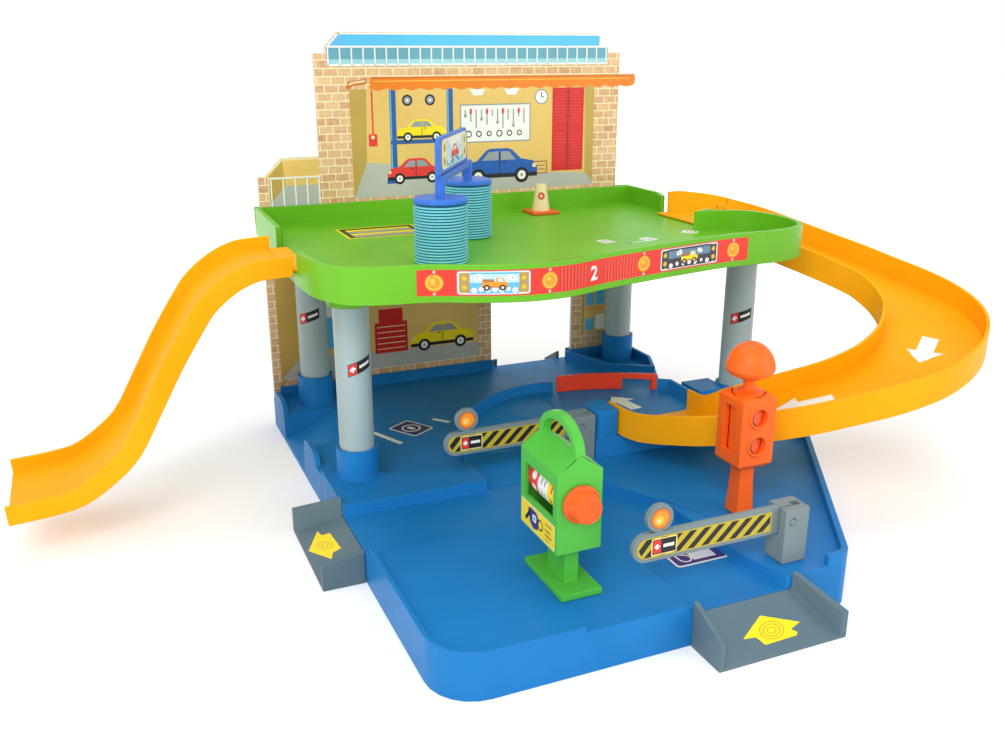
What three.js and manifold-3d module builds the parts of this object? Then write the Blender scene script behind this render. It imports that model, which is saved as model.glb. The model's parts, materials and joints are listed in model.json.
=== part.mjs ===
// A toy parking garage: a two-level car park with slides, barriers, a car wash and a fuel pump.
// Millimetres. +X runs right along the printed back card, +Y runs to the back, +Z is up.
import * as THREE from "three";
import Module from "manifold-3d";
import { mergeVertices } from "three/addons/utils/BufferGeometryUtils.js";

const wasm = await Module();
wasm.setup();

// Sizes that several mouldings share.
const planSide = 500;
const wall = 2.5;
const fit = 0.3;
const overrun = 2;
const cornerSteps = 6;
const roundSteps = 28;
const pegRadius = 3;
const pegDepth = 7;

// Levels above the table, each from the one that carries it.
const roadTop = 21;
const parkingRise = 3;
const islandRise = 4;
const apronRise = 7.5;
const rearWallHeight = 9.5;
const laneRise = 25;
const socketRise = 28.6;
const storeyHeight = 114.7;
const deckSkirt = 4.7;
const deckThickness = 3;
const deckRimHeight = 15.5;
const parkingTop = roadTop + parkingRise;
const plateTop = roadTop + islandRise;
const apronTop = roadTop + apronRise;
const rearWallTop = parkingTop + rearWallHeight;
const laneTop = roadTop + laneRise;
const socketTop = roadTop + socketRise;
const deckUnderside = socketTop + storeyHeight;
const deckFloorBottom = deckUnderside + deckSkirt;
const deckFloorTop = deckFloorBottom + deckThickness;
const deckRimTop = deckFloorTop + deckRimHeight;

// Finishes of the mouldings.
const blue = { color: 0x2563c9, roughness: 0.32, metalness: 0 };
const green = { color: 0x6cc232, roughness: 0.35, metalness: 0 };
const yellow = { color: 0xf5a614, roughness: 0.32, metalness: 0 };
const grey = { color: 0xa9adb4, roughness: 0.45, metalness: 0 };
const darkGrey = { color: 0x74747e, roughness: 0.5, metalness: 0 };
const red = { color: 0xe0331f, roughness: 0.35, metalness: 0 };
const orange = { color: 0xf0592a, roughness: 0.38, metalness: 0 };
const white = { color: 0xf2f0ea, roughness: 0.4, metalness: 0 };
const brushBlue = { color: 0x8fd0ea, roughness: 0.45, metalness: 0 };
const cardPrint = { color: 0xe3c98f, roughness: 0.6, metalness: 0 };

// Turns a closed geometry into a solid that can be joined and cut.
function solid(geometry) {
  const bare = geometry.index ? geometry.toNonIndexed() : geometry.clone();
  bare.deleteAttribute("normal");
  bare.deleteAttribute("uv");
  const merged = mergeVertices(bare, fit / 1000);
  return new wasm.Manifold(
    new wasm.Mesh({
      numProp: 3,
      vertProperties: merged.attributes.position.array,
      triVerts: new Uint32Array(merged.index.array),
    }),
  );
}

// Joins a list of solids.
function joined(solids) {
  return solids.reduce((sum, piece) => sum.add(piece));
}

// A box between two corners.
function box(left, right, front, back, bottom, top) {
  const geometry = new THREE.BoxGeometry(right - left, back - front, top - bottom);
  geometry.translate((left + right) / 2, (front + back) / 2, (bottom + top) / 2);
  return solid(geometry);
}

// A straight extrusion of an outline given as [a, b] points.
function extruded(points, depth) {
  const shape = new THREE.Shape(points.map(([a, b]) => new THREE.Vector2(a, b)));
  return new THREE.ExtrudeGeometry(shape, { depth, bevelEnabled: false });
}

// An upright prism of a plan outline.
function prism(points, bottom, top) {
  return solid(extruded(points, top - bottom).translate(0, 0, bottom));
}

// A prism of an elevation outline in X and Z that runs from front to back.
function elevation(points, front, back) {
  return solid(extruded(points, back - front).rotateX(Math.PI / 2).translate(0, back, 0));
}

// A prism of a side outline in Y and Z that runs from left to right.
function sideways(points, left, right) {
  const turn = new THREE.Matrix4().makeBasis(
    new THREE.Vector3(0, 1, 0),
    new THREE.Vector3(0, 0, 1),
    new THREE.Vector3(1, 0, 0),
  );
  return solid(extruded(points, right - left).applyMatrix4(turn).translate(left, 0, 0));
}

// An upright round rod, or a cone where the two radii differ.
function rod(x, y, radius, bottom, top, topRadius = radius, steps = roundSteps) {
  const geometry = new THREE.CylinderGeometry(topRadius, radius, top - bottom, steps);
  return solid(geometry.rotateX(Math.PI / 2).translate(x, y, (bottom + top) / 2));
}

// A round rod that runs from front to back.
function axle(x, z, radius, front, back, frontRadius = radius) {
  const geometry = new THREE.CylinderGeometry(radius, frontRadius, back - front, roundSteps);
  return solid(geometry.translate(x, (front + back) / 2, z));
}

// A turned body about an upright axis, from [radius, height] points that start and end on the axis.
function turned(x, y, profile, steps = roundSteps) {
  const geometry = new THREE.LatheGeometry(
    profile.map(([radius, height]) => new THREE.Vector2(radius, height)),
    steps,
  );
  return solid(geometry.rotateX(Math.PI / 2).translate(x, y, 0));
}

// Plan points from a table of shares of the plan's side, with an optional corner radius.
function outline(shares) {
  return shares.map(([x, y, ...rest]) => [x * planSide, y * planSide, ...rest]);
}

// One plan point from its shares.
function place([x, y]) {
  return [x * planSide, y * planSide];
}

// A list of named lengths, or of named plan points, from their shares.
function named(shares, scale) {
  return Object.fromEntries(Object.entries(shares).map(([name, share]) => [name, scale(share)]));
}
function length(share) {
  return share * planSide;
}

// Rounds the corners that carry a radius as a third value.
function rounded(points) {
  const result = [];
  points.forEach(([x, y, radius], i) => {
    if (!radius) {
      result.push([x, y]);
      return;
    }
    const corner = new THREE.Vector2(x, y);
    const before = points[(i + points.length - 1) % points.length];
    const after = points[(i + 1) % points.length];
    const inward = new THREE.Vector2(before[0], before[1]).sub(corner).normalize();
    const onward = new THREE.Vector2(after[0], after[1]).sub(corner).normalize();
    const half = Math.acos(THREE.MathUtils.clamp(inward.dot(onward), -1, 1)) / 2;
    const reach = radius / Math.tan(half);
    const start = corner.clone().addScaledVector(inward, reach);
    const end = corner.clone().addScaledVector(onward, reach);
    const middle = inward.clone().add(onward).normalize();
    const centre = corner.clone().addScaledVector(middle, radius / Math.sin(half));
    const from = start.clone().sub(centre).angle();
    let sweep = end.clone().sub(centre).angle() - from;
    if (sweep > Math.PI) sweep -= 2 * Math.PI;
    if (sweep < -Math.PI) sweep += 2 * Math.PI;
    for (let k = 0; k <= cornerSteps; k++) {
      const angle = from + (sweep * k) / cornerSteps;
      result.push([centre.x + radius * Math.cos(angle), centre.y + radius * Math.sin(angle)]);
    }
  });
  return result;
}

// A smooth open line through plan points.
function smooth(points, steps) {
  const curve = new THREE.CatmullRomCurve3(
    points.map(([x, y]) => new THREE.Vector3(x, y, 0)),
    false,
    "centripetal",
  );
  return curve.getPoints(steps).map((p) => [p.x, p.y]);
}

// The sideways unit vector at each point of a line, to the left of its run.
const sharpestShare = 0.4;
function leftOf(points, closed) {
  const count = points.length;
  return points.map((point, i) => {
    const before = points[closed ? (i + count - 1) % count : Math.max(i - 1, 0)];
    const after = points[closed ? (i + 1) % count : Math.min(i + 1, count - 1)];
    const back = new THREE.Vector2(point[0] - before[0], point[1] - before[1]).normalize();
    const on = new THREE.Vector2(after[0] - point[0], after[1] - point[1]).normalize();
    if (back.lengthSq() === 0) back.copy(on);
    if (on.lengthSq() === 0) on.copy(back);
    const run = back.clone().add(on).normalize();
    const spread = Math.max(run.dot(on), sharpestShare);
    return [-run.y / spread, run.x / spread];
  });
}

// A closed outline moved outwards by a distance, or inwards where it is negative.
function grown(points, distance) {
  const turn = THREE.ShapeUtils.area(points.map(([x, y]) => new THREE.Vector2(x, y)));
  const side = turn > 0 ? -distance : distance;
  const lefts = leftOf(points, true);
  return points.map(([x, y], i) => [x + lefts[i][0] * side, y + lefts[i][1] * side]);
}

// A strip of even width on the left of an open line.
function strip(points, width) {
  const lefts = leftOf(points, false);
  const far = points.map(([x, y], i) => [x + lefts[i][0] * width, y + lefts[i][1] * width]);
  return [...points, ...far.reverse()];
}

// Whether a plan point lies inside an outline.
function isInside(points, x, y) {
  let inside = false;
  points.forEach(([ax, ay], i) => {
    const [bx, by] = points[(i + points.length - 1) % points.length];
    if (ay > y !== by > y && x < ((bx - ax) * (y - ay)) / (by - ay) + ax) inside = !inside;
  });
  return inside;
}

// The hollow under a moulded floor, with the ribs that cross it left standing.
const ribPitch = 88;
const ribThickness = 2.2;
function ribbed(hollow) {
  const count = Math.floor(planSide / ribPitch);
  const ribs = Array.from({ length: count }, (_, k) => {
    const middle = ribPitch * (k + 1);
    const near = middle - ribThickness / 2;
    const far = middle + ribThickness / 2;
    return [
      box(near, far, -planSide, planSide, -planSide, planSide),
      box(-planSide, planSide, near, far, -planSide, planSide),
    ];
  });
  return cut(hollow, ribs.flat());
}
function underside(points, ceiling) {
  return prism(grown(points, -wall), -overrun, ceiling - wall);
}

// Cuts a list of solids out of a body.
function cut(body, tools) {
  return tools.reduce((rest, tool) => rest.subtract(tool), body);
}

const garage = new THREE.Group();

// Adds one named moulding with a material of its own.
function addPart(name, body, finish) {
  const mesh = body.getMesh();
  const geometry = new THREE.BufferGeometry();
  geometry.setAttribute("position", new THREE.BufferAttribute(mesh.vertProperties, mesh.numProp));
  geometry.setIndex(new THREE.BufferAttribute(mesh.triVerts, 1));
  geometry.computeVertexNormals();
  const part = new THREE.Mesh(geometry, new THREE.MeshStandardMaterial(finish));
  part.name = name;
  garage.add(part);
}

// Places that several mouldings meet at.
const columnPlaceShares = {
  front_left: [0.046, 0.464],
  rear_left: [0.064, 0.796],
  rear_right: [0.654, 0.81],
  right: [0.686, 0.484],
};
const columnPlaces = named(columnPlaceShares, place);
const postWidth = 16.5;
const postGap = 1;
const towerLeftShare = 0.373;
const barrierPlaceShares = { front: [0.439, 0.039], rear: [towerLeftShare, 0.392] };
const barrierPlaces = named(barrierPlaceShares, place);
barrierPlaces.rear[0] -= postGap + postWidth / 2;
const brushPlaceShares = { front: [0.177, 0.47], rear: [0.28, 0.634] };
const brushPlaces = named(brushPlaceShares, place);
const standingPlaceShares = { pump: [0.185, 0.108], traffic: [0.462, 0.158], cone: [0.478, 0.79] };
const standingPlaces = named(standingPlaceShares, place);
const accessPlaceShares = { right: [0.288, 0], left: [0, 0.382], rear: [0.554, 0.858] };
const accessPlaces = named(accessPlaceShares, place);

// The columns and the sockets that carry them.
const columnRadius = 12;
const columnWall = 2.4;
const socketRadius = 14.6;
const socketDepth = 20;
const collarRadius = 15.2;
const collarDrop = 14.3;
const collarBottom = deckUnderside - collarDrop;
function socketBore([x, y]) {
  return rod(x, y, columnRadius + fit, socketTop - socketDepth, socketTop + overrun);
}
function column([x, y]) {
  const bottom = socketTop - socketDepth + fit;
  const top = deckFloorBottom - fit;
  const tube = rod(x, y, columnRadius, bottom, top);
  return tube.subtract(rod(x, y, columnRadius - columnWall, bottom - overrun, top + overrun));
}

// The boss under a floor for a peg, its hole, and the peg that stands in it.
function boss([x, y], top) {
  return rod(x, y, pegRadius + fit + wall, top - pegDepth - wall, top);
}
function pegHole([x, y], top) {
  return rod(x, y, pegRadius + fit, top - pegDepth - fit, top + overrun);
}
function peg([x, y], top) {
  return rod(x, y, pegRadius, top - pegDepth, top + wall);
}

// The base's front moulding: the fuel island, the road, the kerb bar and the right apron.
const footRadius = 9;
function feet(shares, body) {
  return joined(shares.map(place).map(([x, y]) => rod(x, y, footRadius, 0, socketTop))).intersect(body);
}
const rimWidth = 4;
const islandRimWidth = 3;
const apronRimHeight = 6.5;
const apronRimTop = apronTop + apronRimHeight;
const islandRimHeight = 3;
const islandRimTop = plateTop + islandRimHeight;
const islandCorner = 27;
const islandBend = 52;
const apronCorner = 12;
const apronBend = 25;
const frontPlanShares = [
  [0, 0, islandCorner],
  [0.5, 0, apronCorner],
  [0.704, 0.316, apronBend],
  [0.714, 0.3755],
  [0.202, 0.3755],
  [0.202, 0.446],
  [0.08, 0.446],
  [0.08, 0.496],
  [0, 0.496],
];
const frontPlan = rounded(outline(frontPlanShares));
const islandPlanShares = [
  [0, 0, islandCorner],
  [0.288, 0],
  [0.288, 0.248, islandBend],
  [0, 0.248],
];
const islandPlan = rounded(outline(islandPlanShares));
const barPlanShares = [
  [0, 0.37],
  [0.202, 0.37],
  [0.202, 0.446],
  [0.08, 0.446],
  [0.08, 0.496],
  [0, 0.496],
];
const barPlan = outline(barPlanShares);
const apronPlanShares = [
  [0.412, 0],
  [0.5, 0, apronCorner],
  [0.704, 0.316, apronBend],
  [0.714, 0.3755],
  [0.342, 0.3755],
  [0.348, 0.3],
  [0.388, 0.224, apronCorner],
  [0.397, 0.066],
];
const apronPlan = rounded(outline(apronPlanShares));
const apronRimLineShares = [
  [0.47, 0],
  [0.5, 0, apronCorner],
  [0.704, 0.316, apronBend],
  [0.714, 0.3755],
];
const apronRimLine = rounded(outline(apronRimLineShares));
const islandRimLineShares = [
  [0, 0.248],
  [0, 0, islandCorner],
  [0.16, 0],
];
const islandRimLine = rounded(outline(islandRimLineShares));
const frontFootShares = [
  [0.06, 0.09],
  [0.24, 0.05],
  [0.46, 0.06],
  [0.6, 0.32],
  [0.12, 0.41],
];
function baseFront() {
  const body = joined([
    prism(frontPlan, 0, roadTop),
    prism(islandPlan, 0, plateTop),
    prism(barPlan, 0, apronTop),
    prism(apronPlan, 0, apronTop),
    prism(strip(apronRimLine, rimWidth), 0, apronRimTop),
    prism(strip(islandRimLine, islandRimWidth), 0, islandRimTop),
  ]);
  const hollow = joined([
    underside(frontPlan, roadTop),
    underside(islandPlan, plateTop),
    underside(barPlan, apronTop),
    underside(apronPlan, apronTop),
  ]);
  const fillings = joined([
    rod(...columnPlaces.front_left, socketRadius, 0, socketTop),
    boss(barrierPlaces.front, apronTop),
    boss(standingPlaces.traffic, apronTop),
    boss(standingPlaces.pump, plateTop),
    feet(frontFootShares, body),
  ]).intersect(prism(frontPlan, 0, socketTop));
  return cut(body.subtract(ribbed(hollow)).add(fillings), [
    socketBore(columnPlaces.front_left),
    pegHole(barrierPlaces.front, apronTop),
    pegHole(standingPlaces.traffic, apronTop),
    pegHole(standingPlaces.pump, plateTop),
  ]).intersect(prism(frontPlan, 0, socketTop));
}
addPart("base_front", baseFront(), blue);

// The raised lane that takes cars from the curved ramp round to the rear barrier.
const laneFarLineShares = [
  [0.2026, 0.464],
  [0.212, 0.51],
  [0.24, 0.556],
  [0.284, 0.594],
  [0.34, 0.616],
  [0.396, 0.612],
  [0.414, 0.602],
];
const laneFarLineSteps = 14;
const laneFarLine = smooth(outline(laneFarLineShares), laneFarLineSteps);
const guardEndShares = [0.566, 0.524];
const guardEnd = place(guardEndShares);
const lanePlanShares = [
  [0.612, 0.524],
  [0.69, 0.544],
  [0.732, 0.524],
  [0.732, 0.45],
  [0.72, 0.3765],
  [0.2026, 0.3765],
];
const lanePlan = [...laneFarLine, guardEnd, ...outline(lanePlanShares)];
const laneWall = 3;
const kerbHeight = 8;
const laneDrop = laneTop - roadTop;
const laneInside = 36;
const laneOutside = 70;
const laneSteps = 26;
const laneRunShares = [
  [0.48, 0.4145, 0],
  [0.48, 0.444, 0],
  [0.464, 0.492, 0.04],
  [0.424, 0.526, 0.12],
  [0.376, 0.538, 0.24],
  [0.326, 0.524, 0.38],
  [0.288, 0.488, 0.56],
  [0.272, 0.444, 0.7],
  [0.27, 0.41, 0.86],
  [0.27, 0.37, 0.99],
];
const dividerDrop = 2.7;
const towerRise = 18;
const yardRise = 12;
const bracketRise = 2;
const dividerTop = laneTop - dividerDrop;
const towerTop = laneTop + towerRise;
const towerCorner = 8;
const yardTop = roadTop + yardRise;
const bracketTop = laneTop + bracketRise;

// Sweeps a closed section along a line. The section is [right of the run, above it].
function swept(line, section) {
  const up = new THREE.Vector3(0, 0, 1);
  const positions = [];
  line.forEach((point, i) => {
    const ahead = line[Math.min(i + 1, line.length - 1)];
    const behind = line[Math.max(i - 1, 0)];
    const run = ahead.clone().sub(behind).normalize();
    const right = run.clone().cross(up).normalize();
    const above = right.clone().cross(run);
    section.forEach(([side, height]) => {
      const corner = point.clone().addScaledVector(right, side).addScaledVector(above, height);
      positions.push(corner.x, corner.y, corner.z);
    });
  });
  const count = section.length;
  const last = (line.length - 1) * count;
  const faces = [];
  for (let i = 0; i < last; i += count) {
    for (let j = 0; j < count; j++) {
      const next = (j + 1) % count;
      faces.push(i + j, i + count + next, i + next);
      faces.push(i + j, i + count + j, i + count + next);
    }
  }
  const face = section.map(([side, height]) => new THREE.Vector2(side, height));
  THREE.ShapeUtils.triangulateShape(face, []).forEach(([a, b, c]) => {
    faces.push(a, b, c);
    faces.push(last + a, last + c, last + b);
  });
  const geometry = new THREE.BufferGeometry();
  geometry.setAttribute("position", new THREE.Float32BufferAttribute(positions, 3));
  geometry.setIndex(faces);
  return solid(geometry);
}

// The lane's floor as a thick band, raised by a height.
function laneBand(raise) {
  const points = laneRunShares.map(([x, y, dropShare]) => {
    const [px, py] = place([x, y]);
    return new THREE.Vector3(px, py, laneTop - laneDrop * dropShare + raise);
  });
  const line = new THREE.CatmullRomCurve3(points, false, "centripetal").getPoints(laneSteps);
  return swept(line, [
    [-laneInside, -laneTop],
    [laneOutside, -laneTop],
    [laneOutside, 0],
    [-laneInside, 0],
  ]);
}
const dividerPlanShares = [
  [towerLeftShare, 0.3765],
  [0.582, 0.3765],
  [0.582, 0.424],
  [towerLeftShare, 0.424],
];
const dividerPlan = outline(dividerPlanShares);
const towerPlanShares = [
  [towerLeftShare, 0.3765, towerCorner],
  [0.4075, 0.3765],
  [0.4075, 0.424],
  [towerLeftShare, 0.424, towerCorner],
];
const towerPlan = rounded(outline(towerPlanShares));
const barrierPadPlanShares = [
  [0.337, 0.3765],
  [0.376, 0.3765],
  [0.376, 0.414],
  [0.337, 0.414],
];
const barrierPadPlan = outline(barrierPadPlanShares);
const laneFloorPlanShares = [
  [0.584, 0.524],
  [0.584, 0.4145],
  [towerLeftShare, 0.4145],
  [0.337, 0.4145],
  [0.337, 0.3765],
  [0.2026, 0.3765],
];
const laneFloorPlan = [...laneFarLine, guardEnd, ...outline(laneFloorPlanShares)];
const yardPlanShares = [
  [0.582, 0.3765],
  [0.72, 0.3765],
  [0.732, 0.45],
  [0.732, 0.524],
  [0.69, 0.544],
  [0.612, 0.524],
  [0.582, 0.524],
];
const yardPlan = outline(yardPlanShares);
const bracketPlanShares = [
  [0.612, 0.47],
  [0.664, 0.47],
  [0.664, 0.524],
  [0.612, 0.524],
];
const bracketPlan = outline(bracketPlanShares);
const laneEndLineShares = [
  [0.566, 0.524],
  [0.584, 0.512],
  [0.584, 0.424],
];
const laneEndLine = outline(laneEndLineShares);
const laneFootShares = [
  [0.27, 0.45],
  [0.49, 0.47],
  [0.66, 0.42],
];
function lane() {
  const floor = prism(laneFloorPlan, 0, deckUnderside).intersect(laneBand(0));
  const kerb = prism(strip(laneFarLine, -laneWall), 0, deckUnderside).intersect(laneBand(kerbHeight));
  const body = joined([
    prism(lanePlan, 0, roadTop),
    floor,
    kerb,
    prism(dividerPlan, 0, dividerTop),
    prism(towerPlan, 0, towerTop),
    prism(barrierPadPlan, 0, apronTop),
    prism(yardPlan, 0, yardTop),
    prism(bracketPlan, 0, bracketTop),
    prism(strip(laneEndLine, -laneWall), 0, laneTop + kerbHeight),
  ]);
  const hollow = joined([
    underside(lanePlan, roadTop),
    underside(laneFloorPlan, deckUnderside).intersect(laneBand(-wall)),
    underside(yardPlan, yardTop),
  ]);
  const fillings = joined([
    rod(...columnPlaces.right, socketRadius, 0, socketTop),
    boss(barrierPlaces.rear, apronTop),
    feet(laneFootShares, body),
  ]);
  const whole = body.subtract(ribbed(hollow)).add(fillings);
  return cut(whole, [socketBore(columnPlaces.right), pegHole(barrierPlaces.rear, apronTop)]).intersect(
    prism(lanePlan, 0, deckUnderside),
  );
}
addPart("base_lane", lane(), blue);

// The red guard along the far side of the lane, with a notch for a car's nose.
const guardWidth = 4;
const guardHeight = 13.5;
const guardInset = 0.8;
const guardNotchHeight = 8;
const guardLineShares = [
  [0.417, 0.5975],
  [0.455, 0.5845],
  [0.51, 0.557],
  [0.563, 0.524],
];
const guardLineSteps = 8;
const guardLine = smooth(outline(guardLineShares), guardLineSteps);
const guardNotchPlanShares = [
  [0.515, 0.5],
  [0.55, 0.5],
  [0.56, 0.58],
  [0.51, 0.58],
];
const guardNotchPlan = outline(guardNotchPlanShares);
function guard() {
  const inner = guardLine.map(([x, y]) => [x, y - guardInset]);
  const band = prism(strip(inner, -guardWidth), 0, deckUnderside);
  const body = band.intersect(laneBand(guardHeight)).subtract(laneBand(fit));
  return body.subtract(prism(guardNotchPlan, 0, laneTop + guardNotchHeight));
}
addPart("guard", guard(), red);

// The base's rear moulding: the parking floor, its fins, the rear wall and the corner pen.
const finThickness = 4;
const finHeight = 9;
const finTop = parkingTop + finHeight;
const finCorner = 12;
const rearCorner = 8;
const penCorner = 6;
const penWall = 3;
const rampMouth = 42;
const rampMouthLow = 2.5;
const cardThickness = 3;
const cardFrontShare = 0.8458;
const cardFront = length(cardFrontShare);
const cardBack = cardFront + cardThickness;
const cardSeatRise = 2;
const cardSeat = parkingTop + cardSeatRise;
const rearPlanShares = [
  [0, 0.44],
  [0.58, 0.44],
  [0.596, 0.56],
  [0.668, 0.68, penCorner],
  [0.698, 0.744, penCorner],
  [0.698, 0.858],
  [0, 0.858, rearCorner],
];
const rearPlan = rounded(outline(rearPlanShares));
const rearWallShares = [
  [0.012, 0.839],
  [0.406, 0.858],
  [0.566, 0.839],
  [0.698, 0.858],
];
const [rearLeftWall, rearDoorLeft, rearDoorRight, rearRightWall] = rearWallShares.map(place);
const penLineShares = [
  [0.556, 0.839],
  [0.592, 0.734],
  [0.664, 0.687],
  [0.69, 0.746],
  [0.69, 0.839],
];
const penLine = outline(penLineShares);
const finSpanShares = [
  [0.526, 0.61],
  [0.757, 0.842],
];
const rearFootShares = [
  [0.05, 0.58],
  [0.06, 0.72],
  [0.3, 0.8],
  [0.2, 0.6],
  [0.6, 0.72],
  [0.5, 0.66],
];
function baseRear() {
  const floor = cut(prism(rearPlan, 0, parkingTop), [
    prism(grown(lanePlan, fit), -overrun, planSide),
    prism(grown(frontPlan, fit), -overrun, planSide),
  ]);
  const fins = finSpanShares.map(([near, far]) =>
    sideways(
      rounded([
        [near * planSide, 0],
        [far * planSide, 0],
        [far * planSide, finTop, finCorner],
        [near * planSide, finTop, finCorner],
      ]),
      0,
      finThickness,
    ),
  );
  const body = joined([
    floor,
    ...fins,
    box(rearLeftWall[0], rearDoorLeft[0], rearLeftWall[1], rearDoorLeft[1], 0, rearWallTop),
    box(rearDoorRight[0], rearRightWall[0], rearDoorRight[1], rearRightWall[1], 0, rearWallTop),
    prism(strip(penLine, penWall), 0, rearWallTop),
  ]);
  const [mouthNear, mouthFar] = [finSpanShares[0][1], finSpanShares[1][0]].map(length);
  const mouthPlan = [
    [0, mouthNear],
    [rampMouth, mouthNear],
    [rampMouth, mouthFar],
    [0, mouthFar],
  ];
  const mouth = elevation(
    [
      [-overrun, rampMouthLow],
      [rampMouth, parkingTop],
      [rampMouth, socketTop],
      [-overrun, socketTop],
    ],
    mouthNear,
    mouthFar,
  );
  const groove = box(
    -overrun,
    planSide,
    cardFront - fit,
    cardBack + fit,
    cardSeat,
    rearWallTop + overrun,
  );
  const doorway = box(
    rearDoorLeft[0],
    rearDoorRight[0],
    cardFront - overrun,
    cardBack + overrun,
    0,
    parkingTop,
  );
  const hollow = cut(underside(rearPlan, parkingTop), [
    prism(grown(lanePlan, fit + wall), -planSide, planSide),
    prism(grown(frontPlan, fit + wall), -planSide, planSide),
    prism(grown(mouthPlan, wall), -planSide, planSide),
  ]);
  const sockets = [columnPlaces.rear_left, columnPlaces.rear_right];
  const fillings = joined([
    ...sockets.map((spot) => rod(...spot, socketRadius, 0, socketTop)),
    feet(rearFootShares, body),
  ]);
  const whole = body.subtract(ribbed(hollow)).add(fillings);
  return cut(whole, [mouth, groove, ...sockets.map(socketBore)]).add(doorway);
}
addPart("base_rear", baseRear(), blue);

// The columns.
for (const [corner, spot] of Object.entries(columnPlaces)) {
  addPart("column_" + corner, column(spot), grey);
}

// The access ramps, drawn with the base's edge along X and the lip towards -Y.
const accessLength = 27;
const accessWall = 3;
const accessLip = 1.2;
function accessRamp(width, flare, floorTop, wallTops, mirrored) {
  const baseTop = Math.max(wallTops.left, wallTops.right);
  const edges = mirrored ? [-flare, width] : [0, width + flare];
  const [lipLeft, lipRight] = edges;
  const plan = [
    [lipLeft, -accessLength],
    [lipRight, -accessLength],
    [width, -fit],
    [0, -fit],
  ];
  const wedge = (high, low, left, right) =>
    sideways(
      [
        [-accessLength, 0],
        [0, 0],
        [0, high],
        [-accessLength, low],
      ],
      left,
      right,
    );
  const inside = [
    [lipLeft + accessWall, -accessLength - overrun],
    [lipRight - accessWall, -accessLength - overrun],
    [width - accessWall, 0],
    [accessWall, 0],
  ];
  const sides = prism(plan, 0, baseTop).subtract(prism(inside, -overrun, baseTop + overrun));
  const [farLeft, middle, farRight] = [lipLeft - overrun, width / 2, lipRight + overrun];
  const floor = prism(plan, 0, floorTop).intersect(wedge(floorTop, accessLip, farLeft, farRight));
  const walls = joined([
    sides.intersect(wedge(wallTops.left, wallTops.lip, farLeft, middle)),
    sides.intersect(wedge(wallTops.right, wallTops.lip, middle, farRight)),
  ]);
  return floor.add(walls);
}
function placeRamp(mesh, [x, y], turn) {
  mesh.position.set(x, y, 0);
  mesh.rotation.z = turn;
}
const rightRamp = { width: 68, flare: 16, tops: { left: 28, right: 31.5, lip: 16.5 } };
const leftRamp = { width: 57, flare: 29, tops: { left: 33, right: 21.6, lip: 17 } };
const rearRamp = { width: 68, flare: 10, tops: { left: 31, right: 31, lip: 16.5 } };
addPart(
  "ramp_right",
  accessRamp(rightRamp.width, rightRamp.flare, roadTop, rightRamp.tops, false),
  darkGrey,
);
placeRamp(garage.getObjectByName("ramp_right"), accessPlaces.right, 0);
addPart(
  "ramp_left",
  accessRamp(leftRamp.width, leftRamp.flare, roadTop, leftRamp.tops, true),
  darkGrey,
);
placeRamp(garage.getObjectByName("ramp_left"), accessPlaces.left, -Math.PI / 2);
addPart(
  "ramp_rear",
  accessRamp(rearRamp.width, rearRamp.flare, parkingTop, rearRamp.tops, false),
  darkGrey,
);
placeRamp(garage.getObjectByName("ramp_rear"), accessPlaces.rear, Math.PI);

// The upper deck: a green tray with a deep rim, collars for the columns and two openings.
const deckRim = 4;
const deckFrontLineShares = [
  [-0.021, 0.464],
  [-0.014, 0.395],
  [0.01, 0.348],
  [0.05, 0.329],
  [0.105, 0.32],
  [0.165, 0.293],
  [0.225, 0.276],
  [0.28, 0.279],
  [0.34, 0.299],
  [0.44, 0.322],
  [0.56, 0.344],
  [0.65, 0.346],
  [0.702, 0.37],
  [0.724, 0.42],
  [0.722, 0.478],
  [0.702, 0.516],
  [0.67, 0.532],
  [0.644, 0.537],
];
const deckFrontLineSteps = 46;
const deckFrontLine = smooth(outline(deckFrontLineShares), deckFrontLineSteps);
const deckPlanShares = [
  [0.668, 0.545],
  [0.676, 0.552],
  [0.676, 0.704],
  [0.69, 0.74],
  [0.69, 0.858],
  [-0.006, 0.858],
  [-0.008, 0.752],
  [-0.0105, 0.652],
  [-0.02, 0.65],
];
const deckPlan = [...deckFrontLine, ...outline(deckPlanShares)];
const slideMouthShares = [0.464, 0.652];
const [slideMouthNear, slideMouthFar] = slideMouthShares.map(length);
const rampMouthShares = [0.5465, 0.702];
const [rampMouthNear, rampMouthFar] = rampMouthShares.map(length);
const deckEdgeShares = [-0.02, 0.676];
const [deckLeft, deckRight] = deckEdgeShares.map(length);
const rearRimShares = [-0.006, 0.69, 0.837, 0.858];
const [rearRimLeft, rearRimRight, rearRimFront, rearRimBack] = rearRimShares.map(length);
const conePeg = 2;
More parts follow.
